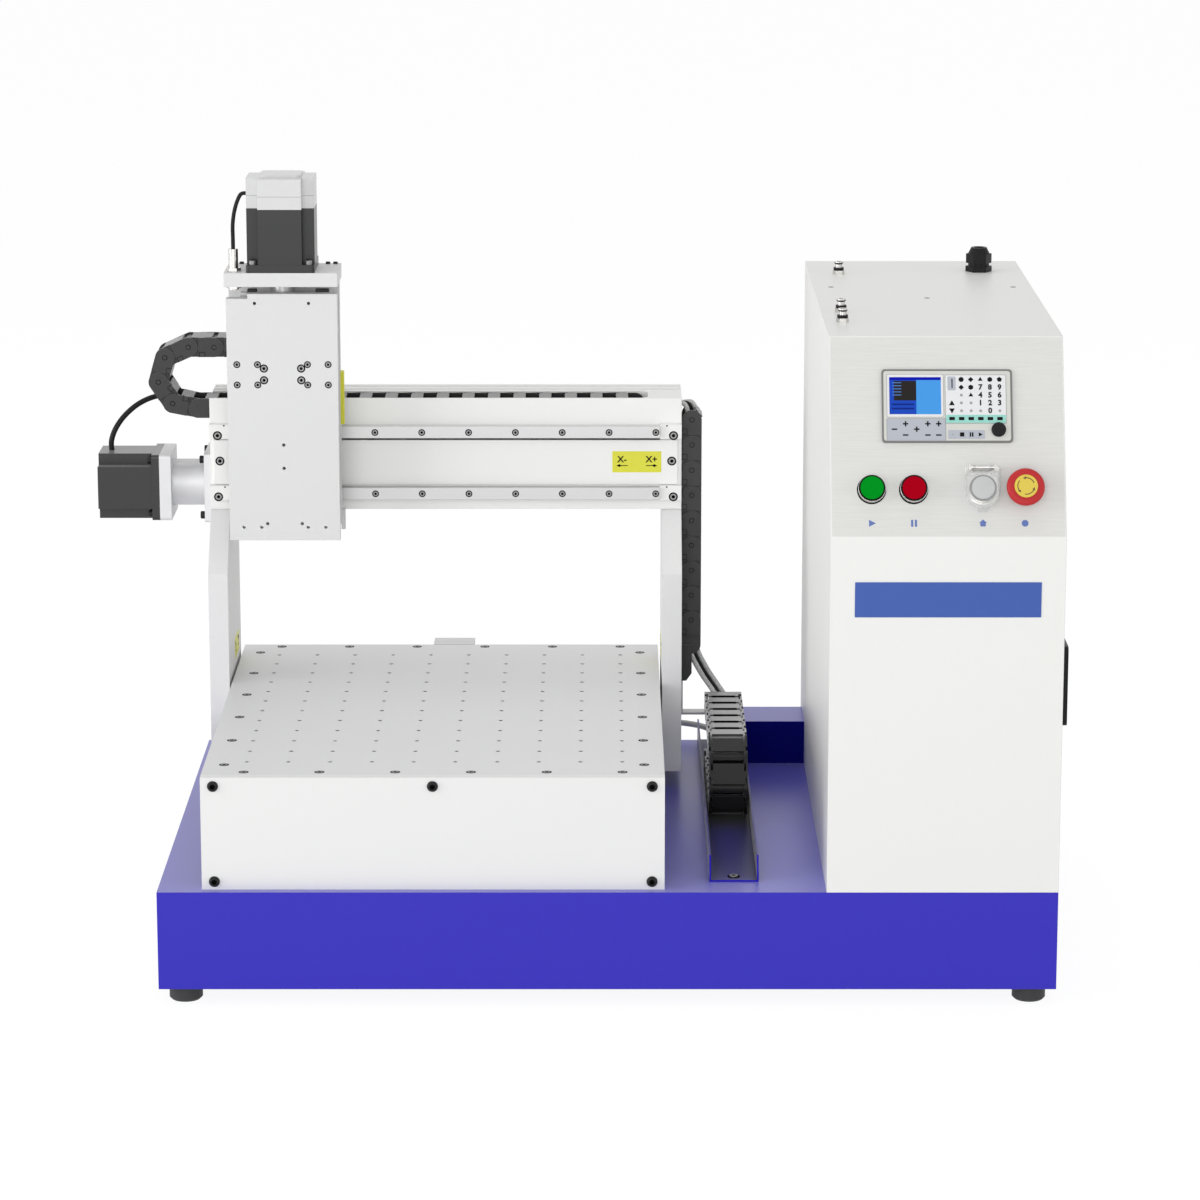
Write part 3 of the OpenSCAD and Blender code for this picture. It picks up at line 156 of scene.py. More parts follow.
bench_tree.links.new(lit.outputs[0], mixed.inputs[1])
bench_tree.links.new(glow.outputs[0], mixed.inputs[2])
bench_tree.links.new(mixed.outputs[0], bench_tree.nodes["Material Output"].inputs["Surface"])
bench_mesh.materials.append(bench_paint)

# The base: a box folded from steel sheet and sprayed deep blue, with the cable duct behind and a screwed
# bottom cover in the same enamel.
enamel_blue = (0.011, 0.003, 0.445)
enamel_haze = 0.5
mix_first = 6
mix_second = 7
mix_result = 2


def colour_mix(tree, first=None, second=None):
    """A node that mixes two colours by its Factor."""
    node = tree.nodes.new("ShaderNodeMix")
    node.data_type = "RGBA"
    for socket, colour in ((mix_first, first), (mix_second, second)):
        if colour is not None:
            node.inputs[socket].default_value = (*colour, 1.0)
    return node


def grain_group():
    """Fine grain: noise at Scale on Vector, put out as a Shade about 1 and as a Height from 0 to 1."""
    group = bpy.data.node_groups.new("fine_grain", "ShaderNodeTree")
    for socket, kind in (("Vector", "Vector"), ("Scale", "Float"), ("Contrast", "Float")):
        group.interface.new_socket(socket, in_out="INPUT", socket_type="NodeSocket" + kind)
    for socket in ("Shade", "Height"):
        group.interface.new_socket(socket, in_out="OUTPUT", socket_type="NodeSocketFloat")
    entry = group.nodes.new("NodeGroupInput")
    leave = group.nodes.new("NodeGroupOutput")
    noise = group.nodes.new("ShaderNodeTexNoise")
    noise.inputs["Detail"].default_value = 3.0
    centred = maths(group, "SUBTRACT", 0.5)
    shade = maths(group, "MULTIPLY_ADD", 0.0, 1.0)
    group.links.new(entry.outputs["Vector"], noise.inputs["Vector"])
    group.links.new(entry.outputs["Scale"], noise.inputs["Scale"])
    group.links.new(noise.outputs["Fac"], centred.inputs[0])
    group.links.new(centred.outputs[0], shade.inputs[0])
    group.links.new(entry.outputs["Contrast"], shade.inputs[1])
    group.links.new(shade.outputs[0], leave.inputs["Shade"])
    group.links.new(noise.outputs["Fac"], leave.inputs["Height"])
    return group


fine_grain = grain_group()


def coated(
    name,
    colour,
    roughness,
    metallic=0.0,
    grain=700.0,
    contrast=0.05,
    depth=0.03,
    edge=0.0006,
    stretch=(1, 1, 1),
    specular=0.5,
    painted_shade_reach=0.0,
    haze=0.0,
):
    """A finish with fine grain in its shade, gloss and relief, and corners eased by the width edge. Near
    other faces, within the given distance, its colour is darker: painted shade. haze pales faces seen at a
    slant."""
    material = bpy.data.materials.new(name)
    material.use_nodes = True
    tree = material.node_tree
    surface = tree.nodes["Principled BSDF"]
    surface.inputs["Metallic"].default_value = metallic
    surface.inputs["Specular IOR Level"].default_value = specular
    surface.inputs["Sheen Weight"].default_value = haze
    surface.inputs["Sheen Roughness"].default_value = 0.4
    place = tree.nodes.new("ShaderNodeTexCoord")
    turn = tree.nodes.new("ShaderNodeMapping")
    turn.inputs["Scale"].default_value = stretch
    speckle = tree.nodes.new("ShaderNodeGroup")
    speckle.node_tree = fine_grain
    speckle.inputs["Scale"].default_value = grain
    speckle.inputs["Contrast"].default_value = contrast
    tint = colour_mix(tree, colour)
    tint.blend_type = "MULTIPLY"
    tint.inputs["Factor"].default_value = 1.0
    gloss = maths(tree, "MULTIPLY", roughness)
    relief = tree.nodes.new("ShaderNodeBump")
    relief.inputs["Strength"].default_value = depth
    relief.inputs["Distance"].default_value = 0.0005
    tree.links.new(place.outputs["Object"], turn.inputs["Vector"])
    tree.links.new(turn.outputs["Vector"], speckle.inputs["Vector"])
    tree.links.new(speckle.outputs["Shade"], tint.inputs[mix_second])
    # Painted shade: the colour darkens near other faces.
    if painted_shade_reach:
        corner = tree.nodes.new("ShaderNodeAmbientOcclusion")
        corner.samples = 8
        corner.inputs["Distance"].default_value = painted_shade_reach
        tree.links.new(tint.outputs[mix_result], corner.inputs["Color"])
        tree.links.new(corner.outputs["Color"], surface.inputs["Base Color"])
    else:
        tree.links.new(tint.outputs[mix_result], surface.inputs["Base Color"])
    tree.links.new(speckle.outputs["Shade"], gloss.inputs[0])
    tree.links.new(gloss.outputs[0], surface.inputs["Roughness"])
    tree.links.new(speckle.outputs["Height"], relief.inputs["Height"])
    if edge:
        eased = tree.nodes.new("ShaderNodeBevel")
        eased.samples = 4
        eased.inputs["Radius"].default_value = edge
        tree.links.new(eased.outputs["Normal"], relief.inputs["Normal"])
    tree.links.new(relief.outputs["Normal"], surface.inputs["Normal"])
    return material


def dress(material, *names):
    """Gives the material to each of these frame pieces."""
    for name in names:
        nodes[name].data.materials.clear()
        nodes[name].data.materials.append(material)


blue_enamel = coated(
    "blue_enamel", enamel_blue, 0.3, grain=260.0, contrast=0.03, depth=0.02, edge=0.0012, haze=enamel_haze
)
dress(blue_enamel, "base_frame", "bottom_cover")

# The chain's tray: folded sheet in the same blue enamel. Its colour is painted shade, a darker blue that
# darkens more near other faces, and only its faces turned to the front, such as the cut front edges, keep
# the plain enamel blue.
tray_shade_blue = (0.010, 0.006, 0.20)
tray_shade = 0.09
edge_facing = -0.7
tray_shaded_enamel = coated(
    "tray_shaded_enamel",
    tray_shade_blue,
    0.35,
    grain=260.0,
    depth=0.02,
    specular=0.12,
    painted_shade_reach=tray_shade,
    haze=0.24,
)
tray_tree = tray_shaded_enamel.node_tree
# Faces turned to the front show the plain enamel blue; the rest keep the painted shade.
facing = tray_tree.nodes.new("ShaderNodeSeparateXYZ")
front_edge = maths(tray_tree, "LESS_THAN", edge_facing)
edged = colour_mix(tray_tree, second=enamel_blue)
tray_colour = tray_tree.nodes["Principled BSDF"].inputs["Base Color"]
tray_tree.links.new(tray_tree.nodes["Texture Coordinate"].outputs["Normal"], facing.inputs["Vector"])
tray_tree.links.new(facing.outputs["Y"], front_edge.inputs[0])
tray_tree.links.new(front_edge.outputs[0], edged.inputs["Factor"])
tray_tree.links.new(tray_colour.links[0].from_socket, edged.inputs[mix_first])
tray_tree.links.new(edged.outputs[mix_result], tray_colour)
dress(tray_shaded_enamel, "chain_tray")

# The duct's front: a strip of thin sheet in a darker blue, which lies flat on the duct's face behind the
# tray. It is painted shade for the shadow that falls there.
strip_shade_blue = (0.001, 0.001, 0.15)
strip_t = 0.0003
strip_corner = 0.0005
strip_lo = np.array([0.1825, 0.237, 0.1405])
strip_hi = np.array([0.2595, 0.237, 0.1965])
strip_shade_paint = coated("strip_shade_paint", strip_shade_blue, 0.5, contrast=0.03, edge=0.0, specular=0.05)
right, back, up = np.eye(3)


def mesh_object(name, points, faces, materials, bands=None):
    """A mesh piece at the origin from points and faces, with coinciding points joined and soft shading
    between faces that meet at less than 35 degrees. bands gives each face's material."""
    mesh = bpy.data.meshes.new(name)
    mesh.from_pydata(points, [], faces)
    for material in materials:
        mesh.materials.append(material)
    if bands is not None:
        mesh.polygons.foreach_set("material_index", np.asarray(bands, np.int32))
    tidy = bmesh.new()
    tidy.from_mesh(mesh)
    bmesh.ops.remove_doubles(tidy, verts=tidy.verts, dist=1e-7)
    bmesh.ops.dissolve_degenerate(tidy, edges=tidy.edges, dist=1e-7)
    tidy.to_mesh(mesh)
    tidy.free()
    mesh.shade_smooth()
    mesh.set_sharp_from_angle(angle=math.radians(35))
    piece = bpy.data.objects.new(name, mesh)
    scene.collection.objects.link(piece)
    return piece


def grid_piece(name, points, materials, bands=None, around=True):
    """A surface over a grid of points [copy, row, step]: each square of the grid is a face, and a row
    closes on itself where around is true. bands gives the material of each strip between two rows."""
    points = np.asarray(points, float)
    points = points.reshape((-1,) + points.shape[-3:])
    copies, rows, steps, _ = points.shape
    row, step = np.meshgrid(np.arange(rows - 1), np.arange(steps if around else steps - 1), indexing="ij")
    here = row * steps + step
    beside = row * steps + (step + 1) % steps
    faces = np.stack([here, beside, beside + steps, here + steps], -1).reshape(-1, 4)
    faces = (faces[None] + (np.arange(copies) * rows * steps)[:, None, None]).reshape(-1, 4)
    strips = None
    if bands is not None:
        strips = np.tile(np.repeat(np.asarray(bands), row.shape[1]), copies)
    return mesh_object(name, points.reshape(-1, 3), faces.tolist(), materials, strips)


def outline(width, height, radius, steps=6):
    """A rectangle with rounded corners, as one ring of points: a quarter circle at each corner."""
    quarter = np.linspace(0, np.pi / 2, steps)
    turn = np.concatenate([quarter + k * np.pi / 2 for k in range(4)])
    side = np.repeat([[1, 1], [-1, 1], [-1, -1], [1, -1]], steps, axis=0)
    middle = side * [width / 2 - radius, height / 2 - radius]
    return middle + radius * np.stack([np.cos(turn), np.sin(turn)], -1)


def placed(flat, height, place):
    """Points of a plane at a height, carried to the place (origin, across, up, out)."""
    origin, across, upward, out = (np.asarray(v, float) for v in place)
    return origin + flat[..., :1] * across + flat[..., 1:2] * upward + np.asarray(height)[..., None] * out


def slab(name, place, width, height, thick, radius, material, ease=0.0):
    """A plate with rounded corners: rings from the middle of its back, round its edge, eased by ease, to
    the middle of its face."""
    radius = max(radius, ease + 1e-5)
    full = outline(width, height, radius)
    drawn = outline(width - 2 * ease, height - 2 * ease, radius - ease)
    rings = np.stack([full * 0, full, full, drawn, drawn * 0])
    heights = np.broadcast_to(np.array([0, 0, thick - ease, thick, thick])[:, None], rings.shape[:2])
    return grid_piece(name, placed(rings, heights, place), [material])


def fitted(piece, body):
    """The piece and the body that carries it."""
    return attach(piece, body)


strip_w, _, strip_h = strip_hi - strip_lo
strip_place = ((strip_lo + strip_hi) / 2, right, up, -back)
duct_shade_strip = slab("duct_shade_strip", strip_place, strip_w, strip_h, strip_t, strip_corner, strip_shade_paint)
fitted(duct_shade_strip, "base")

# The feet: five buffers moulded in black rubber, screwed under the corners and the middle of the base.
# The stop pads of the upright rails are of the same rubber.
foot_rubber = coated("foot_rubber", (0.022, 0.022, 0.023), 0.6, grain=900.0, contrast=0.2)
dress(foot_rubber, "feet")

# The work table: a bead-blasted alloy plate with a grid of tapped holes, on two alloy beams, held by
# countersunk socket screws round its edge. The bridge plate under it has the same finish.
alloy_grey = (0.715, 0.715, 0.72)
rim_screw_r = 0.0042
rim_socket_r = 0.0024
rim_step = 0.09
rim_inset_y = 0.012
rim_inset_x = 0.024
rim_pitch_y = 0.1155
screw_root = 0.0002
screw_clearance = 1.44
blasted_alloy = coated(
    "blasted_alloy", alloy_grey, 0.5, metallic=0.35, grain=1400.0, contrast=0.07, depth=0.08
)
dress(blasted_alloy, "table_plate", "table_side_beams", "bridge_plate")
table_lo, table_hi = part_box("table_plate")
table_x = (table_lo.x + table_hi.x) / 2
table_y = (table_lo.y + table_hi.y) / 2
table_top = table_hi.z

black_steel = coated("black_steel", (0.012, 0.012, 0.013), 0.38, contrast=0.2, edge=0.0003, specular=0.2)
zinc_steel = coated("zinc_steel", (0.26, 0.26, 0.26), 0.4, metallic=0.6, contrast=0.1, edge=0.0)
# Painted shade: the near-black of screw sockets, clearance rings and holes.
recess_shade = coated("recess_shade", (0.004, 0.004, 0.004), 0.8, contrast=0.1, edge=0.0, specular=0.0)


def axes_of(direction):
    """Two unit vectors across a direction and the direction itself, as a right-handed set."""
    along = np.asarray(direction, float) / np.linalg.norm(direction)
    helper = np.eye(3)[np.argmin(np.abs(along))]
    across = np.cross(helper, along)
    across /= np.linalg.norm(across)
    return across, np.cross(along, across), along


def turned_piece(name, centres, direction, profile, materials, bands=None, sides=24):
    """Bodies of revolution at the centres: each profile row gives a radius, a height along direction and
    the share of a hexagon in its outline, whose radius falls to cos 30 over the cosine of the angle from
    the middle of a flat."""
    centres = np.atleast_2d(np.asarray(centres, float))
    radius, height, hexagon = np.asarray([(*row, 0)[:3] for row in profile], float).T
    angle = np.linspace(0, 2 * np.pi, sides, endpoint=False)
    flat = np.cos(np.pi / 6) / np.cos(angle % (np.pi / 3) - np.pi / 6)
    reach = radius[:, None] * (1 + hexagon[:, None] * (flat[None] - 1))
    u, v, w = axes_of(direction)
    ring = np.cos(angle)[:, None] * u + np.sin(angle)[:, None] * v
    shape = reach[:, :, None] * ring[None] + height[:, None, None] * w
    return grid_piece(name, centres[:, None, None] + shape[None], materials, bands)


def flush_screws(name, centres, direction, head_r, socket_r, body, proud=0.0003):
    """Socket screws sunk flush: a plated head, with painted shade as a black ring in the clearance round it
    and a black hexagon in its socket.
    """
    gap_r = head_r * screw_clearance
    gap_h = proud * 0.3
    profile = [
        (gap_r, -screw_root),
        (gap_r, gap_h),
        (head_r, gap_h),
        (head_r, proud),
        (socket_r, proud),
        (socket_r, proud, 1),
        (0.0, proud * 0.9, 1),
    ]
    bands = [1, 1, 0, 0, 0, 1]
    piece = turned_piece(name, centres, direction, profile, [zinc_steel, recess_shade], bands)
    return fitted(piece, body)


rim_x = table_x + rim_step * (np.arange(6) - 2.5)
rim_y = table_y + rim_pitch_y * (np.arange(6) - 2.5)
rim_rows = [(x, y, table_top) for x in rim_x for y in (table_lo.y + rim_inset_y, table_hi.y - rim_inset_y)]
rim_sides = [(x, y, table_top) for y in rim_y for x in (table_lo.x + rim_inset_x, table_hi.x - rim_inset_x)]
flush_screws("table_rim_screws", rim_rows + rim_sides, up, rim_screw_r, rim_socket_r, "base")

# The tray's screw: one plated socket screw through the tray's floor, near its front edge. Its head stands
# above the sheet.
tray_lo, tray_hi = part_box("chain_tray")
tray_sheet = 0.002
tray_screw_inset = 0.0156
tray_screw_r = 0.0052
tray_socket_r = 0.0028
tray_screw_h = 0.0018
tray_screw_at = [((tray_lo.x + tray_hi.x) / 2, tray_lo.y + tray_screw_inset, tray_lo.z + tray_sheet)]
flush_screws("tray_screw", tray_screw_at, up, tray_screw_r, tray_socket_r, "base", proud=tray_screw_h)

# Tapped holes: each hole of the table's grid is opened by a shallow countersink, painted black inside as
# shade.
# The ring starts just above the plate's face.
hole_pitch = 0.05
hole_r = 0.0025
hole_depth = 0.004
chamfer_r = 0.0032
chamfer_depth = 0.0006
chamfer_proud = 0.00005
chamfer_root = 0.0001
grid_x = table_x + hole_pitch * (np.arange(10) - 4.5)
grid_y = table_y + hole_pitch * (np.arange(12) - 5.5)
grid_at = np.stack(np.meshgrid(grid_x, grid_y, [table_top], indexing="ij"), -1).reshape(-1, 3)
chamfer_rows = [
    (chamfer_r, -chamfer_root),
    (chamfer_r, chamfer_proud),
    (hole_r, chamfer_proud - chamfer_depth),
    (hole_r, -hole_depth),
]
hole_chamfers = turned_piece("hole_chamfers", grid_at, up, chamfer_rows, [recess_shade], sides=16)
fitted(hole_chamfers, "base")

# Front and rear plates of the table: sheet alloy sprayed satin white. The front plate is held by five
# black button-head socket screws.
white_paint = (0.775, 0.775, 0.765)
front_screw_r = 0.0066
front_screw_h = 0.0036
front_socket_r = 0.0035
front_screw_x = 0.26
front_top_z = 0.267
front_low_z = 0.150


def sprayed(name, colour, roughness=0.45, edge=0.0008):
    """Satin paint: a faint, fine grain and softly rounded corners."""
    return coated(name, colour, roughness, grain=420.0, contrast=0.02, depth=0.02, edge=edge)


def button_heads(name, centres, direction, radius, height, socket, body, material):
    """Button-head socket screws: a dome that falls off as a quarter ellipse, and a sunk hexagon painted
    black as shade.
    """
    rise = np.linspace(0.25, 1.0, 6)
    dome = [(radius * math.sqrt(1 - 0.55 * t * t), height * t) for t in rise]
    profile = [(radius, -screw_root), (radius, height * 0.2), *dome]
    profile += [(socket, height), (socket, height, 1), (socket, height * 0.45, 1), (0.0, height * 0.4, 1)]
    bands = [0] * (len(profile) - 3) + [1, 1]
    piece = turned_piece(name, centres, direction, profile, [material, recess_shade], bands)
    return fitted(piece, body)


dress(sprayed("white_enamel", white_paint, 0.42), "table_front_plate", "table_rear_plate")
front_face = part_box("table_front_plate")[0].y
front_at = [(table_x + x, front_face, front_top_z) for x in (-front_screw_x, 0, front_screw_x)]
front_at += [(table_x + x, front_face, front_low_z) for x in (-front_screw_x, front_screw_x)]
front_sizes = (front_screw_r, front_screw_h, front_socket_r)
button_heads("front_plate_screws", front_at, -back, *front_sizes, "base", black_steel)

# Guides and screws: ground steel rails with hardened runner blocks, and rolled ball screws with their
# nut brackets. Rails and screws share one bright finish, and the blocks have a darker one.
rail_grey = (0.56, 0.56, 0.56)
block_grey = (0.42, 0.425, 0.43)
ground_steel = coated(
    "ground_steel", rail_grey, 0.33, metallic=0.55, grain=500.0, contrast=0.06, depth=0.02
)
block_steel = coated("block_steel", block_grey, 0.4, metallic=0.8, grain=500.0, contrast=0.06)
dress(ground_steel, "y_rails", "x_rails", "z_rails", "y_screw", "x_screw", "z_screw")
dress(block_steel, "y_blocks", "x_blocks", "z_blocks", "x_nut_bracket", "z_nut_block")

# Stepper motors: black lacquered stacks. The table's and the tool slide's motor end in a pale grey
# moulded cap, which starts where the stack ends.
stack_black = (0.014, 0.014, 0.015)
stack_shade = 0.012
stack_length = 0.0795
cap_grey = (0.64, 0.64, 0.645)
seam_grey = (0.38, 0.38, 0.38)
seam_rise = 0.016
seam_half = 0.0004


def lacquer(name, specular=0.5, haze=0.0):
    """Black lacquer with painted shade that darkens it in the corners of the stack."""
    finish = {"grain": 900.0, "contrast": 0.15, "edge": 0.0008, "painted_shade_reach": stack_shade}
    return coated(name, stack_black, 0.3, specular=specular, haze=haze, **finish)


def two_tone(name, axis, start):
    """Black below the height start along an axis of the object, and the cap's grey above it, with a fine
    dark seam round the cap."""
    material = lacquer(name, specular=0.4)
    tree = material.node_tree
    surface = tree.nodes["Principled BSDF"]
    place = tree.nodes.new("ShaderNodeTexCoord")
    split = tree.nodes.new("ShaderNodeSeparateXYZ")
    above = maths(tree, "GREATER_THAN", start)
    line = maths(tree, "COMPARE", start + seam_rise, seam_half)
    pick = colour_mix(tree)
    cap = colour_mix(tree, cap_grey, seam_grey)
    lower = surface.inputs["Base Color"].links[0].from_socket
    tree.links.new(place.outputs["Object"], split.inputs[0])
    tree.links.new(split.outputs[axis], above.inputs[0])
    tree.links.new(split.outputs[axis], line.inputs[0])
    tree.links.new(line.outputs[0], cap.inputs["Factor"])
    tree.links.new(cap.outputs[mix_result], pick.inputs[mix_second])
    tree.links.new(above.outputs[0], pick.inputs["Factor"])
    tree.links.new(lower, pick.inputs[mix_first])
    tree.links.new(pick.outputs[mix_result], surface.inputs["Base Color"])
    return material


z_motor_lo, z_motor_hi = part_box("z_motor")
y_motor_lo, y_motor_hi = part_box("y_motor")
x_motor_lo, x_motor_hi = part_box("x_motor")
dress(two_tone("z_motor_lacquer", "Z", z_motor_lo.z + stack_length), "z_motor")
dress(two_tone("y_motor_lacquer", "Y", y_motor_lo.y + stack_length), "y_motor")
dress(lacquer("motor_lacquer", haze=0.3), "x_motor")

# Motor screws: cap screws in the flanges' corners, which stand in the notches along the stacks. Plated on
# the table's and the tool slide's motor, black on the beam's.
flange_t = 0.010
motor_bolt_inset = 0.008
motor_head = (0.0045, 0.005)
socket_share = 0.55


def cap_screws(name, centres, direction, radius, height, body, material):
    """Socket head cap screws: a straight head with an eased rim and a sunk hexagon painted black as shade.
    """
    ease = radius * 0.12
    hexagon = radius * socket_share
    profile = [
        (radius, -screw_root),
        (radius, height - ease),
        (radius - ease, height),
        (hexagon, height),
        (hexagon, height, 1),
        (hexagon, height * 0.4, 1),
        (0.0, height * 0.4, 1),
    ]
    piece = turned_piece(name, centres, direction, profile, [material, recess_shade], [0, 0, 0, 0, 1, 1])
    return fitted(piece, body)


def flange_corners(lo, hi, axis, level, inset):
    """The four corners of a box across an axis, drawn in by inset, at a level along that axis."""
    sides = [(low + inset, high - inset) for low, high in zip(lo, hi)]
    sides[axis] = (level,)
    return np.stack(np.meshgrid(*sides, indexing="ij"), -1).reshape(-1, 3)


z_bolts = flange_corners(z_motor_lo, z_motor_hi, 2, z_motor_lo.z + flange_t, motor_bolt_inset)
y_bolts = flange_corners(y_motor_lo, y_motor_hi, 1, y_motor_lo.y + flange_t, motor_bolt_inset)
x_bolts = flange_corners(x_motor_lo, x_motor_hi, 0, x_motor_hi.x - flange_t, motor_bolt_inset)
cap_screws("z_motor_screws", z_bolts, up, *motor_head, "x_carriage", zinc_steel)
cap_screws("y_motor_screws", y_bolts, back, *motor_head, "base", zinc_steel)
cap_screws("x_motor_screws", x_bolts, -right, *motor_head, "gantry", black_steel)

# Gantry: two alloy columns and an alloy beam, all sprayed warm white, with the cover strip between
# the beam's rails.
column_white = (0.735, 0.735, 0.735)
beam_white = (0.86, 0.86, 0.845)
dress(sprayed("column_paint", column_white), "left_column", "right_column")
dress(sprayed("beam_paint", beam_white), "beam", "beam_cover")
beam_lo, beam_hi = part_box("beam")
cover_lo, cover_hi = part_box("beam_cover")
x_rail_lo, x_rail_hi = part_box("x_rails")

# Rail bolts: plated socket screws, one every 60 mm along both rails of the beam, sunk flush with the
# rails' faces.
rail_bolt_pitch = 0.06
rail_bolt_start = 0.0048
rail_w = 0.015
rail_head_r = 0.0031
rail_socket_r = 0.0018
rail_z = (x_rail_lo.z + rail_w / 2, x_rail_hi.z - rail_w / 2)
rail_bolt_x = np.arange(x_rail_lo.x + rail_bolt_start, x_rail_hi.x, rail_bolt_pitch)
rail_bolts = [(x, x_rail_lo.y, z) for x in rail_bolt_x for z in rail_z]
flush_screws("beam_rail_screws", rail_bolts, -back, rail_head_r, rail_socket_r, "gantry")

# End screws: larger plated socket screws at the beam's ends. Four hold the rail stops, and two hold the
# cover strip.
end_head_r = 0.0041
end_socket_r = 0.0024
stop_screw_inset = 0.0105
stop_screw_drop = 0.005
cover_screw_inset = 0.0125
cover_screw_rise = 0.0015
beam_face = beam_lo.y
cover_z = (cover_lo.z + cover_hi.z) / 2 + cover_screw_rise


def beam_ends(inset):
    """The two places along the beam that lie inset from its ends."""
    return (beam_lo.x + inset, beam_hi.x - inset)


stop_at = [(x, beam_face, z - stop_screw_drop) for x in beam_ends(stop_screw_inset) for z in rail_z]
flush_screws("rail_stop_screws", stop_at, -back, end_head_r, end_socket_r, "gantry")
cover_at = [(x, cover_lo.y, cover_z) for x in beam_ends(cover_screw_inset)]
flush_screws("cover_screws", cover_at, -back, end_head_r, end_socket_r, "gantry")

# Oil holes: a small hole above each rail at both ends of the beam, shown as a black disc of painted shade
# just proud of the paint.
oil_inset = 0.019
oil_rise = 0.0078
oil_r = 0.0011
oil_root = 0.0001
oil_proud = 0.00008
oil_at = [(x, beam_face, z + oil_rise) for x in beam_ends(oil_inset) for z in rail_z]
oil_rows = [(oil_r, -oil_root), (oil_r, oil_proud), (0.0, oil_proud)]
oil_holes = turned_piece("rail_oil_holes", oil_at, -back, oil_rows, [recess_shade], sides=14)
fitted(oil_holes, "gantry")

# Axis labels: yellow foil stuck on the beam's cover and inside both columns, printed in black with an
# arrow to each side and the signs of the two directions.
label_w = 0.063
label_h = 0.0275
label_t = 0.0002
label_corner = 0.0005
label_yellow = (0.70, 0.69, 0.035)
label_ends = {"back": (-1, "-"), "on": (1, "+")}
sign_size = 0.0115
sign_weight = 0.00025
sign_rise = 0.003
sign_reach = 0.019
arrow_l = 0.0145
arrow_w = 0.0005
arrow_head = 0.0020
arrow_drop = -0.0049
print_t = 0.0001
beam_label_inset = 0.0575
beam_label_drop = 0.001
column_label_y = 0.240
column_label_z = 0.302
label_foil = coated("label_foil", label_yellow, 0.4, contrast=0.03, edge=0.0)
print_black = coated("print_black", (0.006, 0.006, 0.006), 0.6, contrast=0.05, edge=0.0, specular=0.1)


def lettering(name, words, size, place, material, weight):
    """Plain figures as a flat mesh, centred on the place. weight thickens their strokes."""
    curve = bpy.data.curves.new(name, "FONT")
    curve.body = words
    curve.size = size
    curve.align_x = "CENTER"
    curve.align_y = "CENTER"
    curve.extrude = print_t
    curve.offset = weight
    curve.resolution_u = 3
    holder = bpy.data.objects.new(name + "_words", curve)
    scene.collection.objects.link(holder)
    bpy.context.view_layer.update()
    mesh = bpy.data.meshes.new_from_object(holder.evaluated_get(bpy.context.evaluated_depsgraph_get()))
    bpy.data.objects.remove(holder)
    flat = np.empty(len(mesh.vertices) * 3)
    mesh.vertices.foreach_get("co", flat)
    flat = flat.reshape(-1, 3)
    mesh.vertices.foreach_set("co", placed(flat[:, :2], flat[:, 2] + print_t, place).ravel())
    mesh.update()
    mesh.materials.clear()
    mesh.materials.append(material)
    piece = bpy.data.objects.new(name, mesh)
    scene.collection.objects.link(piece)
    return piece


def moved(place, across, upward, out=0.0):
    """The same place, shifted within its own axes."""
    origin, u, v, w = (np.asarray(axis, float) for axis in place)
    return (origin + across * u + upward * v + out * w, u, v, w)


def flat_shape(name, place, points, material):
    """A flat outline given point by point, raised to a print's thickness, with its face and its rim."""
    ring = np.asarray(points, float)
    rings = np.stack([ring * 0 + ring.mean(0), ring, ring, ring * 0 + ring.mean(0)])
    heights = np.broadcast_to(np.array([0, 0, print_t, print_t])[:, None], rings.shape[:2])
    return grid_piece(name, placed(rings, heights, place), [material])


def axis_label(name, place, letter):
    """A yellow foil on the gantry, with an arrow and a signed letter for each direction."""
    foil = slab(name, place, label_w, label_h, label_t, label_corner, label_foil)
    fitted(foil, "gantry")
    face = moved(place, 0, 0, label_t)
    tip = arrow_l / 2
    barb = tip - 2 * arrow_head
    arrow = np.array([(-tip, -arrow_w), (barb, -arrow_w), (barb, -arrow_head), (tip, 0)])
    arrow = np.concatenate([arrow, arrow[-2::-1] * [1, -1]])
    for end_name, (end, sign) in label_ends.items():
        spot = moved(face, end * sign_reach, 0)
        above = moved(spot, 0, sign_rise)
        sign_name = f"{name}_sign_{end_name}"
        words = lettering(sign_name, letter + sign, sign_size, above, print_black, sign_weight)
        below = moved(spot, 0, arrow_drop)
        mark = flat_shape(f"{name}_arrow_{end_name}", below, arrow[::end] * [end, 1], print_black)
        for piece in (words, mark):
            fitted(piece, "gantry")


beam_label_at = (beam_hi.x - beam_label_inset, cover_lo.y, cover_z - beam_label_drop)
left_label_at = (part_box("left_column")[1].x, column_label_y, column_label_z)
right_label_at = (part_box("right_column")[0].x, column_label_y, column_label_z)
axis_label("beam_label", (beam_label_at, right, up, -back), "X")
axis_label("left_column_label", (left_label_at, back, up, right), "Y")
axis_label("right_column_label", (right_label_at, -back, up, -right), "Y")

# The beam's drive: a turned alloy bell housing between the beam and its motor, held by four black
# socket screws whose heads face the motor.
bell_grey = (0.69, 0.69, 0.70)
bell_flange_t = 0.009
bell_bolt_inset = 0.0085
bell_head = (0.005, 0.006)
bell_alloy = coated("bell_alloy", bell_grey, 0.48, metallic=0.3, grain=600.0, contrast=0.04, depth=0.02)
dress(bell_alloy, "x_bell_housing")
bell_lo, bell_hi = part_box("x_bell_housing")
bell_bolts = flange_corners(bell_lo, bell_hi, 0, bell_hi.x - bell_flange_t, bell_bolt_inset)
cap_screws("bell_screws", bell_bolts, -right, *bell_head, "gantry", black_steel)

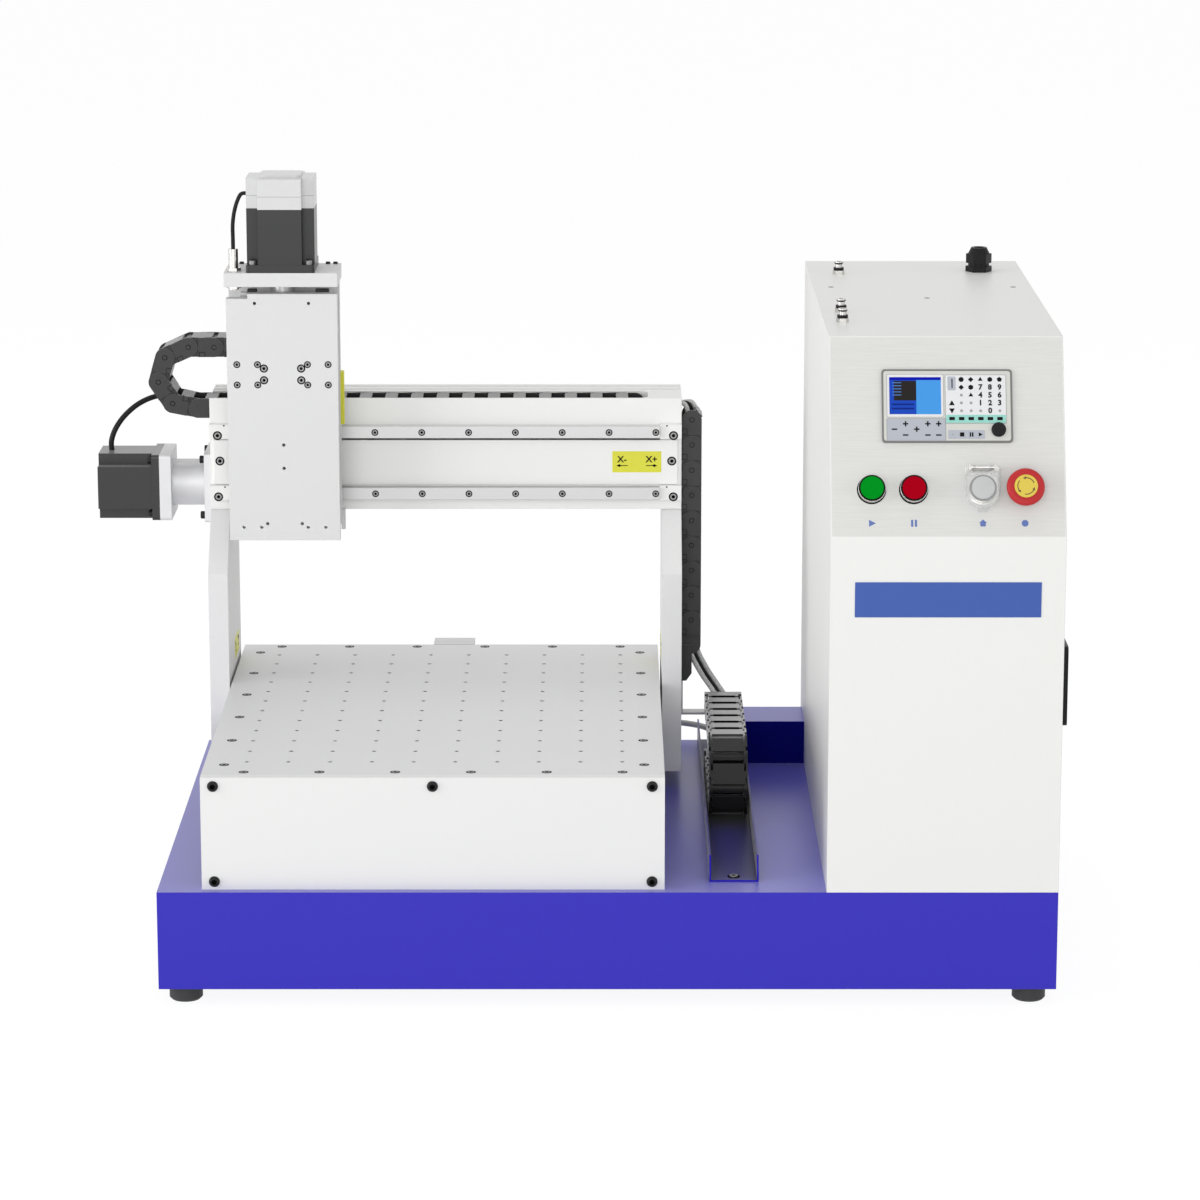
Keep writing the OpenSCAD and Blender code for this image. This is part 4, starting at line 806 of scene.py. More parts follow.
# Carriage and tool slide: machined alloy plates sprayed pale grey-white. The tool plate is bolted
# through to the runner blocks and to the nut block with sunk socket screws.
plate_white = (0.685, 0.685, 0.685)
block_bolt_x = (0.0575, 0.0315)
block_bolt_z = (0.2262, 0.2002)
block_bolt = (0.0031, 0.0018)
nut_bolt_x = (0.0235,)
nut_bolt_z = (0.2212, 0.2062)
nut_bolt = (0.0037, 0.0021)
dress(sprayed("plate_paint", plate_white), "carriage_plate", "tool_plate", "z_motor_plate")
tool_lo, tool_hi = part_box("tool_plate")
tool_x = (tool_lo.x + tool_hi.x) / 2


def tool_bolts(name, reach, rise, sizes):
    """Screws to both sides of the tool plate's middle, at each reach from it and rise above its foot."""
    places = [(tool_x + e * x, tool_lo.y, tool_lo.z + z) for e in (-1, 1) for x in reach for z in rise]
    flush_screws(name, places, -back, *sizes, "z_slide")


tool_bolts("tool_block_screws", block_bolt_x, block_bolt_z, block_bolt)
tool_bolts("tool_nut_screws", nut_bolt_x, nut_bolt_z, nut_bolt)

# Motor plate screws: four black cap screws along the plate's rear edge, two to each side, which hold it
# down on the carriage.
plate_lo, plate_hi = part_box("z_motor_plate")
plate_screw_inset = (0.007, 0.0165)
plate_screw_back = 0.006
plate_head = (0.003, 0.0026)
plate_screw_x = [x for inset in plate_screw_inset for x in (plate_lo.x + inset, plate_hi.x - inset)]
plate_screws = [(x, plate_hi.y - plate_screw_back, plate_hi.z) for x in plate_screw_x]
cap_screws("motor_plate_screws", plate_screws, up, *plate_head, "x_carriage", black_steel)

# Carriage edges: two cap screws on the left edge clamp the sensor flag, and a moulded yellow tag is glued
# to the right edge.
tag_l = 0.068
tag_d = 0.0135
tag_t = 0.0045
tag_corner = 0.001
tag_ease = 0.0004
tag_z = 0.6455
edge_y = 0.149
flag_screw_z = (0.765, 0.744)
flag_head = (0.0035, 0.004)
flag_screws = [(tool_lo.x, edge_y, z) for z in flag_screw_z]
cap_screws("carriage_edge_screws", flag_screws, -right, *flag_head, "x_carriage", zinc_steel)
tag_place = ((tool_hi.x, edge_y, tag_z), -up, back, right)
edge_tag = slab("carriage_tag", tag_place, tag_l, tag_d, tag_t, tag_corner, label_foil, tag_ease)
fitted(edge_tag, "x_carriage")

# Stop pads: two blocks of black rubber, the right one wider, glued to the upper ends of the upright
# rails.
pads = {"stop_pad_left": (-0.4475, 0.012), "stop_pad_right": (-0.359, 0.017)}
pad_h = 0.014
pad_t = 0.008
pad_z = 0.782
pad_corner = 0.0012
pad_ease = 0.0006
upright_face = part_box("z_rails")[0].y
for pad_name, (pad_x, pad_w) in pads.items():
    pad_place = ((pad_x, upright_face, pad_z), right, up, -back)
    pad = slab(pad_name, pad_place, pad_w, pad_h, pad_t, pad_corner, foot_rubber, pad_ease)
    fitted(pad, "x_carriage")

# Limit sensor: a nickel-plated barrel in two hexagon nuts through the motor plate. The hose fittings and
# the button bezels are plated alike.
nickel = coated("nickel", (0.62, 0.61, 0.59), 0.25, metallic=1.0, grain=600.0, contrast=0.06, edge=0.0004)
dress(nickel, "limit_sensor", "air_fittings", "button_bezels")

# Cable chains: links moulded in black nylon, which snap together at their pivots. The base chain's upper run
# is painted a paler grey, a painted highlight for the light on its tops, and the base chain's loop is
# painted darker, as painted shade. Links that pass round a loop are shown where the travel leaves them.
chain_grey = (0.028, 0.028, 0.029)
lit_top_grey = (0.065, 0.065, 0.066)
shaded_loop_grey = (0.017, 0.017, 0.0175)
chain_pitch = 0.033
travel_links = 6
x_travel = 0.396
hidden_inset = 0.985
link_slack = 0.0002
layer_half = 0.02185
lid_half = 0.0197
lid_start = 0.0025
bar_from = 0.00985
stretch_half = 0.25
stretch_reach = 0.2
stretch_samples = 4001


def nylon(name, colour, roughness, painted_shade_reach=0.014, haze=0.35, specular=0.5):
    """Moulded nylon, with painted shade that darkens it where links lap, and paler at a slant."""
    finish = {"grain": 500.0, "contrast": 0.15, "edge": 0.0004}
    return coated(name, colour, roughness, specular=specular, painted_shade_reach=painted_shade_reach, haze=haze, **finish)


chain_nylon = nylon("chain_nylon", chain_grey, 0.35, specular=0.35)
# Painted highlight: the upper run's tops are a paler copy of the nylon.
chain_lit_top = nylon("chain_lit_top", lit_top_grey, 0.35, haze=1.0)
# Painted shade: the base chain's loop is a darker copy of the nylon.
shaded_loop_nylon = nylon("shaded_loop_nylon", shaded_loop_grey, 0.4, painted_shade_reach=0.02, haze=0.18, specular=0.15)
dress(chain_nylon, "y_chain_lower_run", "y_chain_upper_run", "riser_chain")
dress(chain_nylon, "x_chain_lower_run", "x_chain_rolling_links", "x_chain_loop", "x_chain_upper_run")
dress(shaded_loop_nylon, "y_chain_loop")


def chain_copy(name, node, keep=None, turn_about=None, shrink=1.0, ease=None, material=chain_nylon):
    """A copy of a run of links: the triangles whose middle passes keep, turned over about a cross axis
    (the two coordinates of turn_about are doubled and the point is taken from them), and shrunk about the
    run's own middle line by shrink. ease maps the x of each point at the end."""
    mesh = nodes[node].data
    points = np.empty(len(mesh.vertices) * 3)
    mesh.vertices.foreach_get("co", points)
    points = points.reshape(-1, 3)
    mesh.calc_loop_triangles()
    faces = np.empty(len(mesh.loop_triangles) * 3, np.int32)
    mesh.loop_triangles.foreach_get("vertices", faces)
    faces = faces.reshape(-1, 3)
    if keep is not None:
        faces = faces[keep(points[faces].mean(1))]
        used, faces = np.unique(faces, return_inverse=True)
        points, faces = points[used], faces.reshape(-1, 3)
    if turn_about is not None:
        axis, middle, height = turn_about
        points[:, axis] = 2 * middle - points[:, axis]
        points[:, 2] = 2 * height - points[:, 2]
    if shrink != 1.0:
        centre = (points.min(0) + points.max(0)) / 2
        points = centre + (points - centre) * shrink
    if ease is not None:
        points[:, 0] = ease(points[:, 0])
    piece = mesh_object(name, points, faces.tolist(), [material])
    return piece


rolling_lo, rolling_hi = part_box("x_chain_rolling_links")
upper_lo, upper_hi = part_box("x_chain_upper_run")
link_r = (rolling_hi.z - rolling_lo.z) / 2
rolling_y = (rolling_lo.y + rolling_hi.y) / 2
rolling_z = (rolling_lo.z + rolling_hi.z) / 2
second_pivot = rolling_lo.x + link_r + chain_pitch
upper_middle = (upper_lo.x + rolling_hi.x) / 2
spare_pivot = 2 * upper_middle - second_pivot
beam_turn = (0, upper_middle, (rolling_lo.z + upper_hi.z) / 2)


def in_first(p):
    """Where a triangle's middle lies in the first rolling link: short of the next link's outer plates, or
    between those plates and clear of its lids."""
    off = np.abs(p[:, 1] - rolling_y)
    past = p[:, 0] - second_pivot
    next_lid = (off < lid_half) & (past > lid_start) & (np.abs(p[:, 2] - rolling_z) > bar_from)
    return (past < -link_r - link_slack) | ((off < layer_half) & (past < link_r + link_slack) & ~next_lid)


def drawn_in(x):
    """Where a point of the last spare link rests so that full travel brings it to its place: half the
    travel plus the share of it that a smooth step about the link's pivot gives."""
    rest = np.linspace(-stretch_reach, stretch_reach, stretch_samples)
    step = np.clip(rest / (2 * stretch_half) + 0.5, 0, 1)
    share = step * step * (3 - 2 * step)
    return spare_pivot + np.interp(x - spare_pivot, rest + x_travel * (share - 0.5), rest)


rolling = chain_copy("beam_chain_rolling", "x_chain_rolling_links")
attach(rolling, "gantry")
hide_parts("x_chain_rolling_links")
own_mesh(rolling)
spare_upper = chain_copy(
    "beam_chain_spare",
    "x_chain_rolling_links",
    keep=lambda p: ~in_first(p),
    turn_about=beam_turn,
    shrink=hidden_inset,
)
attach(spare_upper, "x_chain_loop")
spare_end = chain_copy(
    "beam_chain_spare_end",
    "x_chain_rolling_links",
    keep=in_first,
    turn_about=beam_turn,
    shrink=hidden_inset,
    ease=drawn_in,
)
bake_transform(spare_end)

y_upper_lo, y_upper_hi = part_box("y_chain_upper_run")
y_lower_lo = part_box("y_chain_lower_run")[0]
y_chain_x = (y_upper_lo.x + y_upper_hi.x) / 2
y_first = y_upper_lo.y + link_r
y_split = y_first + travel_links * chain_pitch + link_r + link_slack
y_anchor = y_split - link_r
lower_middle = (y_first + y_lower_lo.y + link_r + travel_links * chain_pitch) / 2


def in_end(p):
    """Where a triangle's middle lies in the end bracket or in its lid."""
    lid = (np.abs(p[:, 0] - y_chain_x) < lid_half) & (p[:, 1] > y_anchor + lid_start)
    return lid | (p[:, 1] >= y_split)


def in_run(p):
    """Where a triangle's middle lies in the rolling links."""
    return ~in_end(p)


y_rolling = chain_copy("base_chain_rolling", "y_chain_upper_run", keep=in_run, material=chain_lit_top)
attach(y_rolling, "gantry")
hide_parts("y_chain_upper_run")
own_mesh(y_rolling)
y_end = chain_copy("base_chain_end", "y_chain_upper_run", keep=in_end, material=chain_lit_top)
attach(y_end, "gantry")
spare_lower = chain_copy(
    "base_chain_spare",
    "y_chain_upper_run",
    keep=in_run,
    turn_about=(1, lower_middle, (y_lower_lo.z + y_upper_hi.z) / 2),
    shrink=hidden_inset,
)
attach(spare_lower, "y_chain_loop")

# Chain grooves: on the front sides a ring round each link's pivot pin and the outline of the clip that opens
# its lid, both moulded in and painted black as the shade in them.
pin_inner = 0.0026
pin_outer = 0.0033
pin_proud = 0.0005
groove_h = 0.00012
groove_w = 0.0006
clip_from = 0.0118
clip_to = 0.0188
clip_reach = 0.0063
loop_headings = np.radians([204, 254, 303, 349])
run_links = 5
riser_links = 9
riser_inset = 0.001
riser_drop = 0.029
slot_shade_black = coated("slot_shade_black", (0.004, 0.004, 0.004), 0.8, contrast=0.05, edge=0.0, specular=0.0)
chain_face = upper_lo.y + pin_proud


def ring_rows(inner, outer, height):
    """The rows of a flat ring, from its inner edge round and back again."""
    return [(inner, 0.0), (outer, 0.0), (outer, height), (inner, height), (inner, 0.0)]


def chain_marks(name, pivots, headings, body, side=1):
    """Grooves on links that start at the pivots (x, z) and head along the angles: a ring about each pivot
    and a ribbon round three sides of a rectangle that opens at the link's inner edge. side turns the inner
    edge from the left of the heading to its right."""
    pivots = np.asarray(pivots, float)
    along = np.stack([np.cos(headings), np.sin(headings)], -1)[:, None, None]
    inward = side * np.stack([-np.sin(headings), np.cos(headings)], -1)[:, None, None]
    pins_at = [(x, chain_face, z) for x, z in pivots]
    pin_rows = ring_rows(pin_inner, pin_outer, groove_h)
    rings = turned_piece(name + "_pins", pins_at, -back, pin_rows, [slot_shade_black], sides=20)
    edges = []
    for half in (side * groove_w / 2, -side * groove_w / 2):
        near = clip_from - half
        far = clip_to + half
        reach = clip_reach - half
        edges.append([(near, link_r), (near, reach), (far, reach), (far, link_r)])
    path = np.array([edges])
    flat = pivots[:, None, None] + path[..., :1] * along + path[..., 1:] * inward
    level = np.full(flat.shape[:-1], chain_face - groove_h)
    ribbon = np.stack([flat[..., 0], level, flat[..., 1]], -1)
    clips = grid_piece(name + "_clips", ribbon, [slot_shade_black], around=False)
    for piece in (rings, clips):
        fitted(piece, body)


loop_start = np.array([upper_lo.x + link_r, upper_hi.z - link_r])
loop_steps = chain_pitch * np.stack([np.cos(loop_headings), np.sin(loop_headings)], -1)
loop_pivots = loop_start + np.concatenate([[[0, 0]], np.cumsum(loop_steps, 0)[:-1]])
chain_marks("beam_loop", loop_pivots, loop_headings, "x_chain_loop")
run_pivots = loop_start + chain_pitch * np.stack([np.arange(1, run_links + 1), np.zeros(run_links)], -1)
chain_marks("beam_run", run_pivots, np.full(run_links, np.pi), "x_carriage")
riser_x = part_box("riser_chain")[0].x + riser_inset + link_r
riser_z = beam_hi.z - riser_drop - chain_pitch * np.arange(riser_links)
riser_pivots = np.stack([np.full(riser_links, riser_x), riser_z], -1)
chain_marks("riser", riser_pivots, np.full(riser_links, -np.pi / 2), "gantry", side=-1)

# Lid mouths: black strips laid flat on the lids' tops, painted shade for the dark slot between one lid and
# the next on top of the base chain. Those of the rolling links fold up with them.
mouth_half_w = 0.0155
mouth_half_l = 0.0054
mouth_proud = 0.00005


def lid_mouths(name, pivots):
    """A rectangle across the chain at each pivot's y, flat on the lids' tops."""
    across = y_chain_x + mouth_half_w * np.array([[-1, 1], [-1, 1]])
    along = mouth_half_l * np.array([[-1, -1], [1, 1]])
    y = np.asarray(pivots, float)[:, None, None] + along
    level = np.full(y.shape, y_upper_hi.z + mouth_proud)
    points = np.stack([np.broadcast_to(across, y.shape), y, level], -1)
    return fitted(grid_piece(name, points, [slot_shade_black], around=False), "gantry")


run_mouths = lid_mouths("base_run_mouths", y_first + chain_pitch * np.arange(1, travel_links))
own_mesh(run_mouths)
lid_mouths("base_end_mouth", [y_first + chain_pitch * travel_links])

# Chain bracket: bent steel sheet, galvanised, which carries the base chain's upper end beside the right
# column.
bracket_zinc = coated("bracket_zinc", (0.45, 0.45, 0.455), 0.4, metallic=0.8, grain=300.0, contrast=0.08)
dress(bracket_zinc, "chain_bracket")

# Cables: a black motor cable, a black sensor lead, a grey motor cable behind the table, and a loom of
# grey braided leads with a dark one between them that runs down the standing chain.
lead_black = (0.012, 0.012, 0.013)
cable_black = coated("cable_black", lead_black, 0.4, grain=500.0, contrast=0.15, edge=0.0, specular=0.15)
braid_grey = coated("braid_grey", (0.52, 0.52, 0.51), 0.5, grain=520.0, contrast=1.5, depth=0.5, edge=0.0)
cable_grey = coated("cable_grey", (0.36, 0.36, 0.36), 0.45, grain=500.0, contrast=0.1, edge=0.0)
mm = 0.001


def eased_route(points, steps=8):
    """A smooth line through the points: on each stretch the cubic through four neighbouring points."""
    points = np.asarray(points, float)
    ends = np.concatenate([points[:1], points, points[-1:]])
    a, b, c, d = ends[:-3, None], ends[1:-2, None], ends[2:-1, None], ends[3:, None]
    t = np.linspace(0, 1, steps, endpoint=False)[None, :, None]
    line = 0.5 * (2 * b + t * (c - a) + t**2 * (2 * a - 5 * b + 4 * c - d) + t**3 * (3 * b - a - 3 * c + d))
    return np.concatenate([line.reshape(-1, 3), points[-1:]])


def cable(name, route, diameter, across, material, body, aside=(0, 0, 0), sides=14):
    """A round cable: a circle square to its line at each point, with closed ends. across is a direction
    that the line never follows, and aside shifts the whole line."""
    line = eased_route(np.asarray(route, float) * mm + np.asarray(aside, float) * mm)
    along = np.gradient(line, axis=0)
    along /= np.linalg.norm(along, axis=1, keepdims=True)
    u = np.cross(along, across)
    u /= np.linalg.norm(u, axis=1, keepdims=True)
    v = np.cross(along, u)
    angle = np.linspace(0, 2 * np.pi, sides, endpoint=False)[None, :, None]
    rings = line[:, None] + diameter / 2 * (np.cos(angle) * u[:, None] + np.sin(angle) * v[:, None])
    first = np.repeat(line[:1, None], sides, axis=1)
    last = np.repeat(line[-1:, None], sides, axis=1)
    piece = grid_piece(name, np.concatenate([first, rings, last]), [material])
    fitted(piece, body)
    return piece


x_cable_route = [
    (-642, 234, 561), (-642, 234, 574), (-636, 236, 590), (-624, 242, 606), (-606, 250, 620),
    (-584, 257, 628), (-560, 262, 628), (-540, 264, 620), (-524, 264, 613), (-509, 264, 612),
]
x_cable = cable("x_motor_lead", x_cable_route, 0.007, back, cable_black, "gantry")
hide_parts("x_motor_cable")
sensor_route = [
    (-469, 104.5, 842.5), (-469, 104.5, 856), (-469, 104.5, 872), (-467, 105, 888),
    (-463, 106, 902), (-458, 107, 911), (-451, 108, 912),
]
sensor = cable("sensor_lead", sensor_route, 0.005, back, cable_black, "x_carriage")
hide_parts("sensor_cable")
y_cable_route = [
    (-165, 450, 210), (-150, 450, 208), (-128, 449, 198), (-106, 446, 184), (-82, 442, 171),
    (-58, 436, 163), (-34, 428, 159), (-10, 420, 158), (14, 412, 158), (38, 404, 158), (62, 396, 158),
    (86, 388, 158), (108, 379, 158), (125, 367, 158), (136, 352, 158), (142, 336, 157), (144, 318, 156),
]
y_cable = cable("y_motor_lead", y_cable_route, 0.008, up, cable_grey, "base")
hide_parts("y_motor_cable")
loom_route = [
    (52, 212.5, 624), (60, 212.5, 624), (80, 212.5, 625), (94, 212.5, 627), (104, 212.5, 627),
    (109, 212.5, 618), (110, 212.5, 600), (110, 212.5, 575), (110, 212.5, 550), (110, 212.5, 525),
    (110, 212.5, 500), (110, 212.5, 475), (110, 212.5, 450), (110, 212.5, 425), (110, 212.5, 400),
    (110, 212.5, 375), (110, 212.5, 350), (110, 212.5, 325), (111, 212.5, 308), (115, 212.5, 294),
    (122, 213.5, 280), (130, 214.5, 266), (139, 213.5, 253), (147, 207.5, 242), (152, 197.5, 236),
    (152, 186.5, 234),
]
loom_across = (1, 1, 1)
strands = {
    "loom_strand_left": ((-5, -5.5, 0), 0.0062, braid_grey),
    "loom_strand_middle": ((0.5, 0, 0), 0.0042, cable_black),
    "loom_strand_right": ((5.5, 5.5, 0), 0.0062, braid_grey),
}
for strand_name, (aside, strand_d, finish) in strands.items():
    strand = cable(
        strand_name, loom_route, strand_d, loom_across, finish, "gantry", aside
    )
    if finish is cable_black:
        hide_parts("loom")

# Control cabinet: folded steel sheet, sprayed satin white, with a bolted rear panel. The drives inside
# stand on a mounting plate.
cabinet_paint = (0.80, 0.80, 0.778)
break_z = 0.570
lean_run = 0.096
dress(sprayed("cabinet_white", cabinet_paint, 0.4, edge=0.001), "cabinet_shell", "cabinet_rear_panel")
dress(block_steel, "drive_electronics")
cabinet_lo, cabinet_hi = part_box("cabinet_shell")
cabinet_mid = (cabinet_lo.x + cabinet_hi.x) / 2
panel_rise = cabinet_hi.z - break_z
panel_length = math.hypot(lean_run, panel_rise)
panel_up = np.array([0, lean_run, panel_rise]) / panel_length
panel_out = np.cross(right, panel_up)
panel_foot = np.array([0, cabinet_lo.y, break_z])


def on_panel(x, s, out=0.0):
    """The place on the leaning panel at x across and s up from the bend, out above its face."""
    return (panel_foot + x * right + s * panel_up + out * panel_out, right, panel_up, panel_out)


# Panel film: a pale grey foil with a fine brushed grain across, stuck over the whole leaning panel. Its
# noise is stretched sideways.
film_margin = 0.0015
film_t = 0.0003
film_corner = 0.001
film_grey = (0.67, 0.67, 0.65)
brushed = (0.2, 4, 4)
film_w = cabinet_hi.x - cabinet_lo.x - 2 * film_margin
film_h = panel_length - 2 * film_margin
film_place = on_panel(cabinet_mid, panel_length / 2)
film_paint = coated(
    "film_paint", film_grey, 0.5, grain=130.0, contrast=0.14, depth=0.3, edge=0.0, stretch=brushed
)
film = slab("panel_film", film_place, film_w, film_h, film_t, film_corner, film_paint)
fitted(film, "base")

# Sign plate: a thin blank plate, painted a paler blue than the base and glued to the cabinet's front
# below the panel.
sign_w = 0.218
sign_h = 0.042
sign_t = 0.0006
sign_corner = 0.0008
sign_x = 0.398
sign_z = 0.496
sign_blue = (0.028, 0.085, 0.36)
sign_paint = coated("sign_paint", sign_blue, 0.45, contrast=0.03, edge=0.0)
sign_place = ((sign_x, cabinet_lo.y, sign_z), right, up, -back)
fitted(slab("sign_plate", sign_place, sign_w, sign_h, sign_t, sign_corner, sign_paint), "base")

# Roof screws: three small plated screws, sunk flush in the roof, which hold the frame inside the
# cabinet.
roof_z = cabinet_hi.z
roof_screw = (0.0024, 0.0012)
roof_at = [(0.2822, 0.1175, roof_z), (0.3966, 0.0272, roof_z), (0.5115, 0.1175, roof_z)]
flush_screws("roof_screws", roof_at, up, *roof_screw, "base")

# Vent, gland, port stopper and stop stem: black moulded plastic. The release rings and the seals of the
# three hose fittings are moulded in the same.
fitting_at = [(0.2976, 0.228, roof_z), (0.284, -0.084, roof_z), (0.2817, -0.160, roof_z)]
neck_r = 0.0046
ring_r = 0.0066
ring_low = 0.0052
ring_top = 0.0088
lip_r = 0.0058
lip_heights = (0.0130, 0.0142, 0.0150, 0.0152)
fitting_rows = {
    "fitting_rings": [(neck_r, ring_low), (ring_r, ring_low), (ring_r, ring_top), (neck_r, ring_top)],
    "fitting_lips": list(zip((neck_r, lip_r, lip_r, neck_r), lip_heights)),
}
moulded_black = coated(
    "moulded_black", (0.010, 0.010, 0.011), 0.4, contrast=0.15, edge=0.0005, specular=0.15
)
dress(moulded_black, "vent_cover", "cable_gland", "usb_cap", "stop_stem")
for fitting_name, rows in fitting_rows.items():
    fitted(turned_piece(fitting_name, fitting_at, up, rows, [moulded_black]), "base")

# Controller: a bought-in unit with a grey moulded bezel, a printed front foil, a colour screen and
# three blocks of membrane keys.
ctl_s = 0.157
ctl_t = 0.003
ctl_w = 0.153
ctl_h = 0.088
foil_inset = 0.0022
foil_t = 0.0004
foil_corner = 0.003
foil_ease = 0.0002
rim_t = 0.0002
rim_round = 0.0003
rim_lap = 0.0001
membrane_t = 0.0003
foil_grey = (0.60, 0.60, 0.565)
controller_edge = coated("controller_edge", (0.17, 0.17, 0.165), 0.45)
foil_paint = coated("foil_paint", foil_grey, 0.4, metallic=0.1, grain=900.0, contrast=0.03, edge=0.0003)
key_paint = coated("key_paint", (0.74, 0.745, 0.755), 0.45, contrast=0.02, edge=0.0)
pad_paint = coated("pad_paint", (0.42, 0.445, 0.50), 0.45, contrast=0.03, edge=0.0)
teal_paint = coated("teal_paint", (0.28, 0.62, 0.54), 0.45, contrast=0.02, edge=0.0)
rim_paint = coated("rim_paint", (0.33, 0.33, 0.32), 0.5, contrast=0.03, edge=0.0)
dress(controller_edge, "controller")


def on_foil(x, s, out=0.0):
    """A place on the controller's front foil, from the panel's own x and s."""
    return on_panel(x, s, ctl_t + foil_t + out)


def ctl_slab(name, place, width, height, thick, radius, material, ease=0.0):
    """A moulded plate that belongs to the controller."""
    return fitted(slab(name, place, width, height, thick, radius, material, ease), "base")


def ctl_mark(name, place, width, height, radius, material=print_black):
    """A printed patch with rounded corners."""
    return fitted(slab(name, place, width, height, print_t, radius, material), "base")


def ctl_shape(name, place, points):
    """A printed shape with the corners given."""
    return fitted(flat_shape(name, place, points, print_black), "base")


def rimmed(rim_name, face_name, x, s, width, height, radius, rim, material):
    """A membrane or a frame with a thin dark rim showing round it."""
    full_w = width + 2 * rim
    full_h = height + 2 * rim
    ctl_slab(rim_name, on_foil(x, s), full_w, full_h, rim_t, radius + rim_round, rim_paint)
    ctl_slab(face_name, on_foil(x, s, rim_lap), width, height, membrane_t, radius, material)


foil_w = ctl_w - 2 * foil_inset
foil_h = ctl_h - 2 * foil_inset
foil_place = on_panel(cabinet_mid, ctl_s, ctl_t)
ctl_slab("controller_foil", foil_place, foil_w, foil_h, foil_t, foil_corner, foil_paint, foil_ease)

# Screen: a lit colour display in a pale moulded frame with a dark rim. Its picture is plain coloured
# fields, each a little above the last.
screen_x = 0.3602
screen_s = 0.169
screen_w = 0.0605
screen_h = 0.0445
screen_frame = (0.0658, 0.0508, 0.0017, 0.0006)
field_t = 0.0002
field_out = 0.0003
field_step = 0.00008
row_blue = (0.003, 0.020, 0.22)
line_blue = (0.10, 0.24, 0.62)
screen_fields = {
    "screen_sky": (0, 0, screen_w, screen_h, (0.065, 0.33, 0.80)),
    "screen_side": (-0.0145, 0, 0.0315, screen_h, (0.010, 0.065, 0.50)),
    "screen_bar": (0, 0.0205, screen_w, 0.0035, (0.001, 0.004, 0.42)),
    "screen_list": (-0.0118, 0.006, 0.0262, 0.0235, (0.020, 0.017, 0.016)),
    "screen_row_low": (-0.0145, -0.0155, 0.026, 0.0020, row_blue),
    "screen_row_high": (-0.0145, -0.0105, 0.026, 0.0020, row_blue),
}
screen_lines = 5
line_top = 0.0155
line_step = 0.0037
for index in range(screen_lines):
    line_s = line_top - line_step * index
    screen_fields[f"screen_line_{index}"] = (-0.0215, line_s, 0.0105, 0.0009, line_blue)


def lit_field(name, colour):
    """Display colour: a dark gloss that glows with its own colour."""
    material = bpy.data.materials.new(name)
    material.use_nodes = True
    surface = material.node_tree.nodes["Principled BSDF"]
    surface.inputs["Base Color"].default_value = (*(0.1 * c for c in colour), 1.0)
    surface.inputs["Roughness"].default_value = 0.15
    surface.inputs["Specular IOR Level"].default_value = 0.1
    surface.inputs["Emission Color"].default_value = (*colour, 1.0)
    surface.inputs["Emission Strength"].default_value = 0.9
    return material


rimmed("screen_rim", "screen_frame", screen_x, screen_s, *screen_frame, key_paint)
for level, (field, (dx, ds, width, height, colour)) in enumerate(screen_fields.items()):
    spot = on_foil(screen_x + dx, screen_s + ds, field_out + field_step * level)
    ctl_slab(field, spot, width, height, field_t, field_t, lit_field(field + "_glow", colour))

# Number keys: a white membrane in six columns, digits on the right and plain shapes about them, with a
# teal row at the bottom.
keys_x = 0.431
keys_s = 0.165
keys_w = 0.0705
keys_h = 0.0575
membrane_corner = 0.0012
membrane_rim = 0.0007
teal_h = 0.0098
teal_t = 0.0002
teal_inset = 0.0003
teal_corner = 0.001
key_step_x = 0.0112
key_step_s = 0.0094
key_size = 0.0088
key_weight = 0.00035
key_out = 0.0004
key_symbol_r = 0.0032
key_dot = 0.0032
function_mark = (0.0064, 0.0038, 0.0006)
function_rise = 0.0002
side_key = (0.0095, 0.0165, 0.001)
side_mark = (0.0013, 0.0115, 0.0004)
side_mark_shift = 0.0005
up_arrow = np.array([(-0.0034, -0.0028), (0.0034, -0.0028), (0.0, 0.0032)])
digits = {(row, column): str(10 - 3 * row + column - 3) for row in (1, 2, 3) for column in (3, 4, 5)}
digits[(4, 4)] = "0"
key_symbols = {(0, 1): 8, (0, 2): 4, (0, 3): 3, (0, 4): 6, (0, 5): 5, (1, 1): 4, (1, 2): 6, (2, 2): 3}
taken = set(digits) | set(key_symbols)
blank_keys = [(row, column) for row in range(5) for column in range(1, 6) if (row, column) not in taken]


def key_spot(row, column, rise=0.0):
    """The middle of a key on the membrane, by its row from the top and its column from the left."""
    x = keys_x + (column - 2.5) * key_step_x
    return on_foil(x, keys_s + (2.5 - row) * key_step_s, key_out + rise)


def polygon(sides, radius, start):
    """The corners of a regular polygon, the first at the angle start."""
    turn = start + np.arange(sides) * 2 * np.pi / sides
    return radius * np.stack([np.cos(turn), np.sin(turn)], -1)


rimmed(
    "keypad_rim", "keypad_membrane", keys_x, keys_s, keys_w, keys_h, membrane_corner, membrane_rim, key_paint
)
teal_place = on_foil(keys_x, keys_s - (keys_h - teal_h) / 2, membrane_t)
ctl_slab("keypad_teal", teal_place, keys_w - 2 * teal_inset, teal_h, teal_t, teal_corner, teal_paint)
for (row, column), digit in digits.items():
    figure = lettering(f"key_{digit}", digit, key_size, key_spot(row, column), print_black, key_weight)
    fitted(figure, "base")
for (row, column), sides in key_symbols.items():
    shape = polygon(sides, key_symbol_r, np.pi / 2)
    ctl_shape(f"key_symbol_{row}_{column}", key_spot(row, column), shape)
for row, column in blank_keys:
    mark_name = f"key_mark_{row}_{column}"
    ctl_mark(mark_name, key_spot(row, column), key_dot, key_dot, key_dot * 0.3, rim_paint)
for column in range(6):
    ctl_mark(f"function_mark_{column}", key_spot(5, column, function_rise), *function_mark)
ctl_shape("key_up", key_spot(3, 0), up_arrow)
ctl_shape("key_down", key_spot(4, 0), -up_arrow)
